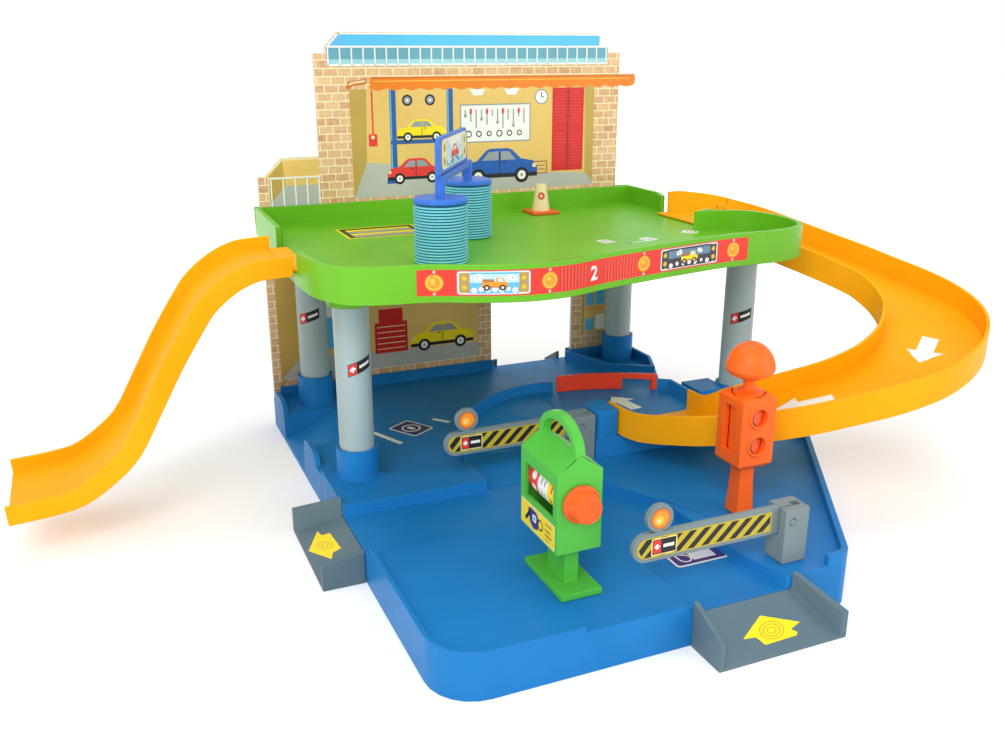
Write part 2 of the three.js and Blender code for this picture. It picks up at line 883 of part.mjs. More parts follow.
function deck() {
  const inner = grown(deckPlan, -deckRim);
  const tray = cut(prism(deckPlan, deckUnderside, deckRimTop), [
    prism(inner, deckFloorTop, deckRimTop + overrun),
    prism(inner, deckUnderside - overrun, deckFloorBottom),
  ]);
  const collars = Object.values(columnPlaces).map(([x, y]) =>
    rod(x, y, collarRadius, collarBottom, deckFloorBottom + wall / 2),
  );
  const rearRim = box(
    rearRimLeft,
    rearRimRight,
    rearRimFront,
    rearRimBack,
    deckFloorBottom,
    deckRimTop,
  );
  const bores = Object.values(columnPlaces).map(([x, y]) =>
    rod(x, y, columnRadius + fit, collarBottom - overrun, deckFloorBottom),
  );
  const spindleHoles = Object.values(brushPlaces).map(([x, y]) =>
    rod(x, y, pegRadius + fit, deckFloorBottom - overrun, deckFloorTop + overrun),
  );
  return cut(joined([tray, rearRim, ...collars]), [
    ...bores,
    ...spindleHoles,
    rod(...standingPlaces.cone, conePeg + fit, deckFloorBottom - overrun, deckFloorTop + overrun),
    box(
      deckLeft - deckRim,
      -deckRim / 2,
      slideMouthNear,
      slideMouthFar,
      deckFloorTop,
      deckRimTop + overrun,
    ),
    box(
      deckRight - 2 * deckRim,
      deckRight + deckRim,
      rampMouthNear,
      rampMouthFar,
      deckFloorTop,
      deckRimTop + overrun,
    ),
    box(
      -planSide,
      planSide,
      cardFront - fit,
      cardBack + fit,
      deckFloorTop,
      deckRimTop + overrun,
    ),
  ]);
}
addPart("deck", deck(), green);

// Both slides are moulded channels with a tongue that lies on the deck's edge.
const channelFloor = 3;
const channelWall = 2.6;
const tongueReach = 12;
const tongueThickness = 2;
const chuteStart = deckFloorTop + tongueThickness + fit;
function channelSection(halfWidth, inner, height, skirt) {
  return [
    [-halfWidth, -skirt],
    [-halfWidth + channelWall, -skirt],
    [-halfWidth + channelWall, -channelFloor],
    [halfWidth - channelWall, -channelFloor],
    [halfWidth - channelWall, -skirt],
    [halfWidth, -skirt],
    [halfWidth, inner],
    [halfWidth - channelWall, inner],
    [halfWidth - channelWall, 0],
    [-halfWidth + channelWall, 0],
    [-halfWidth + channelWall, height],
    [-halfWidth, height],
  ];
}

// The straight slide down the left side.
const slideHalf = 41;
const slideWallHeight = 8.5;
const slideSkirt = 4.6;
const slideStart = deckLeft - fit - wall / 2;
const slideReach = 186;
const slideDrop = 141;
const slideSteps = 44;
const slideMiddle = (slideMouthNear + slideMouthFar) / 2;
const slideShares = [
  [0, 0],
  [0.06, 0.002],
  [0.127, 0.011],
  [0.208, 0.057],
  [0.291, 0.145],
  [0.334, 0.223],
  [0.42, 0.4],
  [0.503, 0.596],
  [0.587, 0.784],
  [0.654, 0.869],
  [0.764, 0.961],
  [0.861, 0.986],
  [1, 1],
];
function slide() {
  const points = slideShares.map(
    ([reachShare, dropShare]) =>
      new THREE.Vector3(
        slideStart - slideReach * reachShare,
        slideMiddle,
        chuteStart - slideDrop * dropShare,
      ),
  );
  const line = new THREE.CatmullRomCurve3(points, false, "centripetal").getPoints(slideSteps);
  const chute = swept(line, channelSection(slideHalf, slideWallHeight, slideWallHeight, slideSkirt));
  const tongue = box(
    slideStart - wall,
    slideStart + tongueReach,
    slideMiddle - slideHalf + channelWall,
    slideMiddle + slideHalf - channelWall,
    chuteStart - tongueThickness,
    chuteStart,
  );
  return chute.add(tongue);
}
addPart("slide", slide(), yellow);

// The long curved ramp that winds from the deck down to the lane.
const rampHalf = 36;
const rampOuterHeight = 17;
const rampInnerHeight = 16;
const rampSkirt = 3.8;
const rampSteps = 60;
const rampEndTop = laneTop + wall / 2;
const rampRunShares = [
  [0.679, 0.624, 0],
  [0.696, 0.624, 0],
  [0.716, 0.6195, 0.02],
  [0.752, 0.592, 0.08],
  [0.806, 0.508, 0.19],
  [0.854, 0.424, 0.29],
  [0.878, 0.37, 0.36],
  [0.883, 0.32, 0.415],
  [0.868, 0.268, 0.475],
  [0.823, 0.221, 0.545],
  [0.756, 0.194, 0.62],
  [0.692, 0.193, 0.68],
  [0.63, 0.211, 0.745],
  [0.56, 0.245, 0.825],
  [0.507, 0.298, 0.91],
  [0.485, 0.356, 0.985],
  [0.482, 0.4115, 1],
];
function curvedRamp() {
  const drop = chuteStart - rampEndTop;
  const points = rampRunShares.map(([x, y, dropShare]) => {
    const [px, py] = place([x, y]);
    return new THREE.Vector3(px, py, chuteStart - drop * dropShare);
  });
  const line = new THREE.CatmullRomCurve3(points, false, "centripetal").getPoints(rampSteps);
  const section = channelSection(rampHalf, rampInnerHeight, rampOuterHeight, rampSkirt);
  const track = swept(line, section);
  const tongue = box(
    points[0].x - tongueReach,
    points[0].x + wall,
    points[0].y - rampHalf + channelWall,
    points[0].y + rampHalf - channelWall,
    chuteStart - tongueThickness,
    chuteStart,
  );
  return track.add(tongue);
}
addPart("curved_ramp", curvedRamp(), yellow);

// The printed cards behind the car park.
const balconyRise = 40;
const balconyWallRise = 54;
const awningLowRise = 105;
const awningHighRise = 116;
const pillarRise = 134;
const railRise = 139;
const roofRise = 150;
const upperCardShares = [0.0012, 0.102, 0.122, 0.142, 0.616, 0.634, 0.658, 0.692];
const balconyWallShares = { foot: 0.014, corner: 0.04 };
function upperCard() {
  const [left, balcony, railLeft, roofLeft, roofRight, railRight, right, awning] =
    upperCardShares.map(length);
  const points = [
    [left, fit],
    [right, fit],
    [right, awningLowRise],
    [awning, awningLowRise],
    [awning, awningHighRise],
    [right, awningHighRise],
    [right, pillarRise],
    [railRight, pillarRise],
    [railRight, railRise],
    [roofRight, railRise],
    [roofRight, roofRise],
    [roofLeft, roofRise],
    [roofLeft, railRise],
    [railLeft, railRise],
    [railLeft, pillarRise],
    [balcony, pillarRise],
    [balcony, balconyWallRise],
    [length(balconyWallShares.corner), balconyWallRise],
    [length(balconyWallShares.foot), balconyRise],
    [left, balconyRise],
  ];
  const raised = points.map(([x, rise]) => [x, deckFloorTop + rise]);
  return elevation(raised, cardFront, cardBack);
}
addPart("card_upper", upperCard(), cardPrint);
const lowerCardTop = deckUnderside - fit;
const lowerCardShares = { left: [0.002, 0.406], right: [0.572, 0.656] };
for (const [side, [fromShare, toShare]] of Object.entries(lowerCardShares)) {
  const card = box(length(fromShare), length(toShare), cardFront, cardBack, cardSeat + fit, lowerCardTop);
  addPart("card_lower_" + side, card, cardPrint);
}

// The barriers: a hollow post with a slot, and a flat boom that lifts on a pin.
const postDepth = 16;
const postHeight = 34;
const postWall = 2;
const boomReach = 101;
const boomHeight = 17;
const boomThickness = 3.6;
const boomPlay = 0.5;
const pivotHeight = 26;
const pinRadius = 2;
const pinHeadRadius = 3.4;
const pinHeadThickness = 1.2;
const lobeRadius = 8.2;
const lobeReach = 84.5;
const lobeRise = 16.5;
function barrier(name, [x, y]) {
  const bottom = apronTop + fit;
  const front = y - postDepth / 2;
  const back = y + postDepth / 2;
  const left = x - postWidth / 2;
  const right = x + postWidth / 2;
  const pivot = right - postWall - boomPlay - boomHeight / 2;
  const pivotZ = apronTop + pivotHeight;
  const pinHole = axle(pivot, pivotZ, pinRadius + fit, front - overrun, back + overrun);
  const slot = box(
    left - overrun,
    right - postWall,
    y - boomThickness / 2 - boomPlay,
    y + boomThickness / 2 + boomPlay,
    pivotZ - boomHeight / 2 - boomPlay,
    apronTop + postHeight + overrun,
  );
  const post = cut(box(left, right, front, back, bottom, apronTop + postHeight), [slot, pinHole]);
  addPart("barrier_" + name + "_post", post.add(peg([x, y], apronTop)), grey);

  const boomFront = y - boomThickness / 2;
  const boomBack = y + boomThickness / 2;
  const half = boomHeight / 2;
  const bar = box(
    pivot - boomReach + half,
    pivot,
    boomFront,
    boomBack,
    pivotZ - half,
    pivotZ + half,
  );
  const boom = joined([
    bar,
    axle(pivot, pivotZ, half, boomFront, boomBack),
    axle(pivot - boomReach + half, pivotZ, half, boomFront, boomBack),
    axle(pivot - lobeReach, pivotZ + lobeRise, lobeRadius, boomFront, boomBack),
  ]);
  addPart("barrier_" + name + "_boom", boom.subtract(pinHole), grey);

  const pin = axle(pivot, pivotZ, pinRadius, front, back + fit + pinHeadThickness / 2);
  const head = axle(pivot, pivotZ, pinHeadRadius, back + fit, back + fit + pinHeadThickness);
  addPart("barrier_" + name + "_pin", pin.add(head), grey);
}
barrier("front", barrierPlaces.front);
barrier("rear", barrierPlaces.rear);

// The fuel pump: a stand, a gabled case with a carrying loop, and a drum turned by a knob.
const standWidth = 25;
const standDepth = 48;
const standThickness = 3.7;
const stemWidth = 8.5;
const stemDepth = 22;
const caseWidth = 27;
const caseDepth = 47;
const standHeight = 25;
const caseHeight = 47;
const gableHeight = 9.5;
const caseBottom = plateTop + standHeight;
const caseEave = caseBottom + caseHeight;
const caseRidge = caseEave + gableHeight;
const caseWall = 2.4;
const caseShift = { x: 1, y: 6.5 };
const drumRadius = 11;
const drumHeight = 29;
const drumZ = caseBottom + drumHeight;
const drumEnd = 0.8;
const windowDepth = 36;
const windowHeight = 20;
const stubRadius = 2.5;
const stubReach = 7;
const knobRadius = 10.9;
const knobFlange = 2.7;
const knobDepth = 11;
const knobFace = 7.6;
const knobStep = 1.2;
const loopRise = 18;
const loopFoot = 7.5;
const loopBase = caseEave + loopFoot;
const loopBand = 4.5;
const loopWidth = 5.5;
function pump([x, y]) {
  const plate = box(
    x - standWidth / 2,
    x + standWidth / 2,
    y - standDepth / 2,
    y + standDepth / 2,
    plateTop + fit,
    plateTop + fit + standThickness,
  );
  const stem = box(
    x - stemWidth / 2,
    x + stemWidth / 2,
    y - stemDepth / 2,
    y + stemDepth / 2,
    plateTop + standThickness / 2,
    caseBottom - fit,
  );
  const topPeg = rod(x, y, pegRadius, caseBottom - wall, caseBottom + caseWall - fit);
  const foot = rod(x, y, pegRadius, plateTop - pegDepth, plateTop + standThickness);
  addPart("pump_stand", joined([plate, stem, topPeg, foot]), green);

  const middleX = x + caseShift.x;
  const middleY = y + caseShift.y;
  const left = middleX - caseWidth / 2;
  const right = middleX + caseWidth / 2;
  const front = middleY - caseDepth / 2;
  const back = middleY + caseDepth / 2;
  const gable = elevation(
    [
      [left, caseBottom],
      [right, caseBottom],
      [right, caseEave],
      [middleX, caseRidge],
      [left, caseEave],
    ],
    front,
    back,
  );
  const loop = (inset) => {
    const span = caseDepth / 2 - inset;
    const points = [[middleY + span, caseEave]];
    for (let k = 0; k <= roundSteps / 2; k++) {
      const angle = (Math.PI * 2 * k) / roundSteps;
      points.push([
        middleY + span * Math.cos(angle),
        loopBase + (loopRise - inset) * Math.sin(angle),
      ]);
    }
    points.push([middleY - span, caseEave]);
    return points;
  };
  const arch = sideways(loop(0), middleX - loopWidth / 2, middleX + loopWidth / 2).subtract(
    sideways(loop(loopBand), middleX - loopWidth, middleX + loopWidth),
  );
  const openTop = caseEave - caseWall / 2;
  const cavity = box(
    left + caseWall,
    right + overrun,
    front + caseWall,
    back - caseWall,
    caseBottom + caseWall,
    openTop,
  );
  const window = box(
    left - overrun,
    left + caseWall + overrun / 4,
    middleY - windowDepth / 2,
    middleY + windowDepth / 2,
    drumZ - windowHeight / 2,
    drumZ + windowHeight / 2,
  );
  const shell = cut(gable.add(arch), [
    cavity,
    window,
    axle(middleX, drumZ, stubRadius + fit, front - overrun, back - caseWall / 2),
    rod(x, y, pegRadius + fit, caseBottom - overrun, caseBottom + caseWall + overrun),
  ]);
  addPart("pump_case", shell, green);

  const cover = box(
    right - caseWall,
    right,
    front + caseWall + fit,
    back - caseWall - fit,
    caseBottom + caseWall + fit,
    openTop - fit,
  );
  addPart("pump_cover", cover, green);

  const drum = axle(
    middleX,
    drumZ,
    drumRadius,
    front + caseWall + drumEnd,
    back - caseWall - drumEnd,
  );
  const spindle = axle(
    middleX,
    drumZ,
    stubRadius,
    front - stubReach,
    back - caseWall / 2 - fit,
  );
  addPart("pump_drum", drum.add(spindle), white);

  const knobBack = front - fit;
  const knob = axle(middleX, drumZ, knobRadius, knobBack - knobFlange, knobBack).add(
    axle(
      middleX,
      drumZ,
      knobRadius - knobStep,
      knobBack - knobDepth,
      knobBack - knobFlange / 2,
      knobFace,
    ),
  );
  const bore = axle(middleX, drumZ, stubRadius + fit, front - stubReach - fit, front + overrun);
  addPart("pump_knob", knob.subtract(bore), orange);
}
pump(standingPlaces.pump);

// The traffic light: a post, a square head with lamp holes, and a drum turned by the dome.
const trafficFootWidth = 12.6;
const trafficPostWidth = 10.6;
const trafficFlare = 22;
const headWidth = 25;
const trafficPostHeight = 33.5;
const headHeight = 48;
const headBottom = apronTop + trafficPostHeight;
const headTop = headBottom + headHeight;
const headChamfer = 3;
const lampDrumRadius = 10;
const lampBore = 10.5;
const lampRadius = 5.6;
const lampRing = 1.6;
const lampRingProud = 1;
const lampHeights = [34, 16];
const lampLevels = lampHeights.map((height) => headBottom + height);
const shutterWidth = 11;
const shutterHeights = { low: 11, high: 40 };
const shutterLevels = named(shutterHeights, (height) => headBottom + height);
const domeRadius = 15;
const domeLift = 13;
const domeHeight = 18.4;
const domeEdge = headTop + domeLift;
const domeTop = domeEdge + domeHeight;
const domeNeck = 3.6;
const domeNeckHeight = 7;
const domeNeckTop = headTop + domeNeckHeight;
const domePlug = 9.6;
function squareTaper(x, y, bottomWidth, topWidth, bottom, top) {
  const geometry = new THREE.CylinderGeometry(
    topWidth / Math.SQRT2,
    bottomWidth / Math.SQRT2,
    top - bottom,
    4,
  );
  geometry.rotateY(Math.PI / 4).rotateX(Math.PI / 2);
  return solid(geometry.translate(x, y, (bottom + top) / 2));
}
function trafficLight([x, y]) {
  const foot = apronTop + fit;
  const post = joined([
    squareTaper(x, y, trafficFootWidth, trafficPostWidth, foot, foot + trafficFlare),
    squareTaper(x, y, trafficPostWidth, trafficPostWidth, foot + wall, headBottom - fit),
    peg([x, y], apronTop),
    rod(x, y, pegRadius, headBottom - wall, headBottom + wall),
  ]);
  addPart("traffic_post", post, orange);

  const narrow = headWidth - 2 * headChamfer;
  const front = y - headWidth / 2;
  const rings = lampLevels.map((z) =>
    axle(x, z, lampRadius + lampRing, front - lampRingProud, front + wall / 2),
  );
  const block = joined([
    squareTaper(x, y, narrow, headWidth, headBottom, headBottom + headChamfer),
    squareTaper(x, y, headWidth, headWidth, headBottom + headChamfer, headTop - headChamfer),
    squareTaper(x, y, headWidth, narrow, headTop - headChamfer, headTop),
    ...rings,
  ]);
  const holes = lampLevels.map((z) => axle(x, z, lampRadius, front - overrun, front + 2 * wall));
  const shutter = box(
    x - headWidth / 2 - overrun,
    x - headWidth / 2 + 2 * wall,
    y - shutterWidth / 2,
    y + shutterWidth / 2,
    shutterLevels.low,
    shutterLevels.high,
  );
  const drumBottom = headBottom + 2 * wall;
  const head = cut(block, [
    rod(x, y, lampBore, drumBottom - fit, headTop + overrun),
    rod(x, y, pegRadius + fit, headBottom - overrun, headBottom + wall + fit),
    ...holes,
    shutter,
  ]);
  addPart("traffic_head", head, orange);

  const drumTop = headTop - headChamfer - fit;
  addPart("traffic_drum", rod(x, y, lampDrumRadius, drumBottom, drumTop), white);

  const profile = [
    [0, drumTop + fit],
    [domePlug, drumTop + fit],
    [domePlug, headTop],
    [domeNeck, headTop + wall / 2],
    [domeNeck, domeNeckTop],
    [domeRadius - lampRing, domeEdge - wall / 2],
    [domeRadius, domeEdge + lampRing],
  ];
  for (let k = 1; k <= cornerSteps; k++) {
    const angle = (Math.PI * k) / (2 * cornerSteps);
    const radius = domeRadius * Math.cos(angle);
    const height = domeEdge + lampRing + (domeTop - domeEdge - lampRing) * Math.sin(angle);
    profile.push([k === cornerSteps ? 0 : radius, height]);
  }
  addPart("traffic_dome", turned(x, y, profile), orange);
}
trafficLight(standingPlaces.traffic);

// The car wash: two ring brushes that turn on the spindles of a bridged frame.
const brushRadius = 18;
const brushCore = 15.4;
const brushHeight = 39.7;
const brushTop = deckFloorTop + brushHeight;
const brushDiscs = 20;
const discShare = 0.55;
const brushSteps = 12;
const lidRadius = 18.4;
const lidBottom = brushTop + 2 * fit;
const lidThickness = 3.5;
const lidTop = lidBottom + lidThickness;
const lidCrown = 1.4;
const bridgeLift = 9.2;
const bridgeThickness = 5;
const bridgeBottom = lidTop + bridgeLift;
const bridgeTop = bridgeBottom + bridgeThickness;
const bridgeWidth = 5;
const neckRadius = 3.4;
const spindleBottom = deckFloorBottom + fit;
function brush([x, y]) {
  const bottom = deckFloorTop + 2 * fit;
  const pitch = (brushTop - bottom) / brushDiscs;
  const profile = [[0, bottom]];
  for (let k = 0; k < brushDiscs; k++) {
    const low = bottom + pitch * k;
    profile.push([brushRadius, low]);
    profile.push([brushRadius, low + pitch * discShare]);
    profile.push([brushCore, low + pitch * discShare]);
    if (k < brushDiscs - 1) profile.push([brushCore, low + pitch]);
  }
  profile.push([brushCore, brushTop]);
  profile.push([0, brushTop]);
  const bore = rod(x, y, pegRadius + fit, bottom - overrun, brushTop + overrun);
  return turned(x, y, profile, brushSteps).subtract(bore);
}
for (const [end, spot] of Object.entries(brushPlaces)) {
  addPart("wash_brush_" + end, brush(spot), brushBlue);
}
function washFrame() {
  const lids = Object.values(brushPlaces).map(([x, y]) =>
    turned(x, y, [
      [0, lidBottom],
      [lidRadius, lidBottom],
      [lidRadius, lidTop - lidCrown],
      [lidRadius - lidCrown, lidTop],
      [0, lidTop],
    ]),
  );
  const stems = Object.values(brushPlaces).map(([x, y]) =>
    rod(x, y, pegRadius, spindleBottom, lidTop - lidCrown),
  );
  const necks = Object.values(brushPlaces).map(([x, y]) =>
    rod(x, y, neckRadius, lidTop - lidCrown, bridgeTop),
  );
  const [fromX, fromY] = brushPlaces.front;
  const [toX, toY] = brushPlaces.rear;
  const run = new THREE.Vector2(toX - fromX, toY - fromY).normalize();
  const shift = [(run.y * bridgeWidth) / 2, (-run.x * bridgeWidth) / 2];
  const line = [
    [fromX + shift[0], fromY + shift[1]],
    [toX + shift[0], toY + shift[1]],
  ];
  const bridge = prism(strip(line, bridgeWidth), bridgeBottom, bridgeTop);
  return joined([...lids, ...stems, ...necks, bridge]);
}
addPart("wash_frame", washFrame(), blue);

// The sign over the wash, drawn along X and turned to the line of the two brushes.
const signThickness = 3;
const signStart = -8;
const signLength = 97;
const signHeight = 24.5;
const signCorner = 7;
function washSign() {
  return elevation(
    rounded([
      [signStart, 0],
      [signStart + signLength, 0],
      [signStart + signLength, signHeight, signCorner],
      [signStart, signHeight, signCorner],
    ]),
    -signThickness / 2,
    signThickness / 2,
  );
}
addPart("wash_sign", washSign(), blue);
const sign = garage.getObjectByName("wash_sign");
sign.position.set(...brushPlaces.front, bridgeTop + fit);
sign.rotation.z = Math.atan2(
  brushPlaces.rear[1] - brushPlaces.front[1],
  brushPlaces.rear[0] - brushPlaces.front[0],
);

// The little road cone on the deck.
const coneFoot = 25;
const coneFootThickness = 2.2;
const coneRadius = 8.2;
const coneTopRadius = 4.4;
const coneHeight = 25;
function roadCone([x, y]) {
  const bottom = deckFloorTop + fit;
  return joined([
    squareTaper(x, y, coneFoot, coneFoot, bottom, bottom + coneFootThickness),
    rod(x, y, coneRadius, bottom + coneFootThickness / 2, bottom + coneHeight, coneTopRadius),
    rod(x, y, conePeg, deckFloorBottom + fit, bottom + coneFootThickness / 2),
  ]);
}
addPart("road_cone", roadCone(standingPlaces.cone), orange);

// The origin lies on the table, under the middle of the whole toy.
const extent = new THREE.Box3().setFromObject(garage);
const middle = extent.getCenter(new THREE.Vector3());
garage.position.set(-middle.x, -middle.y, 0);

export default garage;
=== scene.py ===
import json
import math
import bmesh
import bpy
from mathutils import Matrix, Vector
from mathutils.bvhtree import BVHTree

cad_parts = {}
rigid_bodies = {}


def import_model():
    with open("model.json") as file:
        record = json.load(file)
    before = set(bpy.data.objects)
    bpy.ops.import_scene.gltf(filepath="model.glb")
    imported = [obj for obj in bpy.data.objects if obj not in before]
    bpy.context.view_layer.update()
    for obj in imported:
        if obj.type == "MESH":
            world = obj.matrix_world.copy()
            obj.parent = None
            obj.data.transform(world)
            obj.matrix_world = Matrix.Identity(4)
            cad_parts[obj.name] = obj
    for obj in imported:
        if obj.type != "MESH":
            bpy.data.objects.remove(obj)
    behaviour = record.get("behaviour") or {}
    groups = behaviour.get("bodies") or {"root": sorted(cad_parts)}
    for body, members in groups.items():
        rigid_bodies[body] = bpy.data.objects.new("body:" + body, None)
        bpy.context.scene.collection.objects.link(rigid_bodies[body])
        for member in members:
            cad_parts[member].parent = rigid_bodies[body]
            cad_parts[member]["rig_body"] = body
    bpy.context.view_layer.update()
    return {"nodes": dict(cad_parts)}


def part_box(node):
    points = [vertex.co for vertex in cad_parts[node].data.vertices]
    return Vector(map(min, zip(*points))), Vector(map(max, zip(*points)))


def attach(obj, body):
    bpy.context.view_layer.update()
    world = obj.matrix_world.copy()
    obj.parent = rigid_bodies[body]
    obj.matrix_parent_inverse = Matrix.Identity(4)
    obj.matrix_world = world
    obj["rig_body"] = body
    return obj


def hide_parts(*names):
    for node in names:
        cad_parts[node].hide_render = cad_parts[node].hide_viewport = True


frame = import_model()

# Base mouldings. Three hollow blue mouldings of glossy polypropylene lie side by side on the table.
# Injection moulded: the edges are lightly rounded and the skin is smooth, with faint marks of handling.
mm = 0.001
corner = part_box("base_front")[0]


def spot(x, y, z):
    """A place, from millimetres right of, behind and above the base's front left corner."""
    return corner + Vector((x, y, z)) * mm


def dial(node, values):
    for name, value in values.items():
        node.inputs[name].default_value = value


def node_of(material, kind, values=None, **settings):
    """A new shader node with its settings and the values of its inputs."""
    node = material.node_tree.nodes.new(kind)
    for name, value in settings.items():
        setattr(node, name, value)
    dial(node, values or {})
    return node


def join(material, source, target):
    material.node_tree.links.new(source, target)


def placed(material):
    return node_of(material, "ShaderNodeTexCoord").outputs["Object"]


def grain(material, scale, detail, rough=0.5):
    """Noise on Object coordinates, in cycles per metre."""
    values = {"Scale": scale, "Detail": detail, "Roughness": rough}
    noise = node_of(material, "ShaderNodeTexNoise", values)
    join(material, placed(material), noise.inputs["Vector"])
    return noise.outputs["Fac"]


def ranged(material, value, low, high, to_low, to_high):
    ends = {"From Min": low, "From Max": high, "To Min": to_low, "To Max": to_high}
    node = node_of(material, "ShaderNodeMapRange", ends)
    join(material, value, node.inputs["Value"])
    return node.outputs["Result"]


def combined(material, kind, first, second):
    node = node_of(material, "ShaderNodeMath", operation=kind, use_clamp=True)
    for socket, value in zip(node.inputs, (first, second)):
        if isinstance(value, float):
            socket.default_value = value
        else:
            join(material, value, socket)
    return node.outputs["Value"]


def blended(material, share, first, second):
    """A mix of two colours. The colour sockets go by number, because others have the same names."""
    node = node_of(material, "ShaderNodeMix", data_type="RGBA")
    join(material, share, node.inputs["Factor"])
    for socket, colour in ((node.inputs[6], first), (node.inputs[7], second)):
        if isinstance(colour, tuple):
            socket.default_value = (*colour, 1)
        else:
            join(material, colour, socket)
    return node.outputs[2]


def fresh_material(name):
    material = bpy.data.materials.new(name)
    material.use_nodes = True
    return material, material.node_tree.nodes["Principled BSDF"]


def bumped(material, shader, layers):
    """Stacks bumps on the shader, each as (height, strength, depth in millimetres)."""
    normal = None
    for height, strength, depth in layers:
        bump = node_of(material, "ShaderNodeBump", {"Strength": strength, "Distance": depth * mm})
        join(material, height, bump.inputs["Height"])
        if normal:
            join(material, normal, bump.inputs["Normal"])
        normal = bump.outputs["Normal"]
    join(material, normal, shader.inputs["Normal"])


def rubbed(material, worn):
    """Fine crossing scratches that only show in rubbed patches."""
    scratch_width = 0.012
    lean = {"Scale": (1.0, 0.34, 0.6), "Rotation": (0.3, 0.2, 0.9)}
    warp = node_of(material, "ShaderNodeMapping", lean)
    scratch = node_of(material, "ShaderNodeTexVoronoi", {"Scale": 34}, feature="DISTANCE_TO_EDGE")
    join(material, placed(material), warp.inputs["Vector"])
    join(material, warp.outputs["Vector"], scratch.inputs["Vector"])
    line = ranged(material, scratch.outputs["Distance"], 0.0, scratch_width, 1, 0)
    patch = ranged(material, grain(material, 42, 6, 0.62), 0.55, 0.68, 0, 1)
    return combined(material, "MULTIPLY", combined(material, "MULTIPLY", line, patch), worn)


def plastic(name, colour, shine=0.34, haze=0.12, worn=0.1, coat=0.06, pattern=None, gloss=0.24):
    """Moulded plastic: a little mottled, with fine scuffs that dull the gloss and a soft swell."""
    material, shader = fresh_material(name)
    deeper, lighter, pale = (
        tuple(min(1.0, c * gain + lift) for c in colour)
        for gain, lift in ((0.93, 0), (1.04, 0.004), (0.85, 0.1))
    )
    mottle = ranged(material, grain(material, 14, 4), 0.35, 0.65, 0, 1)
    body = blended(material, mottle, deeper, lighter)
    if pattern:
        body = pattern(material, body)
    scuff = rubbed(material, worn)
    join(material, blended(material, scuff, body, pale), shader.inputs["Base Color"])
    dull = ranged(material, grain(material, 65, 5, 0.6), 0.3, 0.75, shine, shine + haze)
    join(material, combined(material, "ADD", dull, scuff), shader.inputs["Roughness"])
    swell = (grain(material, 90, 3, 0.45), 0.1, 0.5)
    tooth = (grain(material, 2600, 2), 0.05, 0.1)
    bumped(material, shader, (swell, tooth))
    dial(shader, {"Specular IOR Level": gloss, "Coat Weight": coat, "Coat Roughness": 0.15})
    return material


def shown(piece, data):
    shape = bpy.data.objects.new(piece, data)
    bpy.context.scene.collection.objects.link(shape)
    return shape


def moulding(node, material, edge, piece=None, joined=True):
    """A copy of a construction solid with its triangles joined and its edges rounded."""
    mesh = frame["nodes"][node].data.copy()
    work = bmesh.new()
    work.from_mesh(mesh)
    bmesh.ops.remove_doubles(work, verts=work.verts, dist=0.03 * mm)
    bmesh.ops.join_triangles(
        work,
        faces=work.faces if joined else [],
        angle_face_threshold=math.radians(0.5),
        angle_shape_threshold=math.radians(180),
    )
    for face in work.faces:
        face.smooth = True
    work.to_mesh(mesh)
    work.free()
    mesh.materials.clear()
    mesh.materials.append(material)
    shape = shown(piece or node + "_moulding", mesh)
    soften = shape.modifiers.new("rounded edges", "BEVEL")
    soften.width = edge * mm
    soften.segments = 2
    soften.limit_method = "ANGLE"
    soften.angle_limit = math.radians(30)
    soften.miter_outer = "MITER_ARC"
    soften.use_clamp_overlap = False
    even = shape.modifiers.new("even shading", "WEIGHTED_NORMAL")
    even.keep_sharp = True
    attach(shape, frame["nodes"][node]["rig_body"])
    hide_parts(node)
    return shape


base_blue = plastic("base blue plastic", (0.010, 0.185, 0.50), coat=0.0, gloss=0.14)
for node in ("base_front", "base_lane", "base_rear"):
    moulding(node, base_blue, 0.45)

# Floor signs. Printed vinyl labels are stuck on the base: a parking bay, its lines, a fuel sign
# and a lane arrow. Each label is a thin film with its print as further thin layers of ink.
film_lift = 0.02
film_thickness = 0.09
ink_step = 0.02
circle_steps = 28
fine_step = 1.5
ray_start = 600.0


def film(piece, shapes, place, step=None, body="garage"):
    """Printed film from (ink, outline in sheet millimetres, layer), laid on a surface by place()."""
    work = bmesh.new()
    inks = []
    for ink, outline, layer in shapes:
        if ink not in inks:
            inks.append(ink)
        flat = bmesh.new()
        flat.faces.new([flat.verts.new((u, v, 0)) for u, v in outline])
        flat.normal_update()
        for face in flat.faces:
            if face.normal.z < 0:
                face.normal_flip()
        bmesh.ops.triangulate(flat, faces=flat.faces)
        for axis in (0, 1) if step else ():
            way = Vector((1 - axis, axis, 0))
            ends = [point[axis] for point in outline]
            for k in range(math.ceil(min(ends) / step), math.floor(max(ends) / step) + 1):
                everything = flat.verts[:] + flat.edges[:] + flat.faces[:]
                bmesh.ops.bisect_plane(flat, geom=everything, plane_co=way * (k * step), plane_no=way)
        flat.normal_update()
        rise = film_lift + film_thickness + ink_step * layer
        upper = {v: work.verts.new(place(v.co.x, v.co.y, rise)) for v in flat.verts}
        lower = {v: work.verts.new(place(v.co.x, v.co.y, film_lift)) for v in flat.verts}
        made = []
        for face in flat.faces:
            made.append(work.faces.new([upper[v] for v in face.verts]))
            made.append(work.faces.new([lower[v] for v in reversed(face.verts)]))
        for edge in flat.edges:
            if edge.is_boundary:
                first = edge.link_loops[0].vert
                second = edge.link_loops[0].link_loop_next.vert
                sides = (lower[first], lower[second], upper[second], upper[first])
                made.append(work.faces.new(sides))
        for face in made:
            face.material_index = inks.index(ink)
        flat.free()
    mesh = bpy.data.meshes.new(piece)
    work.to_mesh(mesh)
    work.free()
    for ink in inks:
        mesh.materials.append(ink)
    shape = shown(piece, mesh)
    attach(shape, body)
    return shape


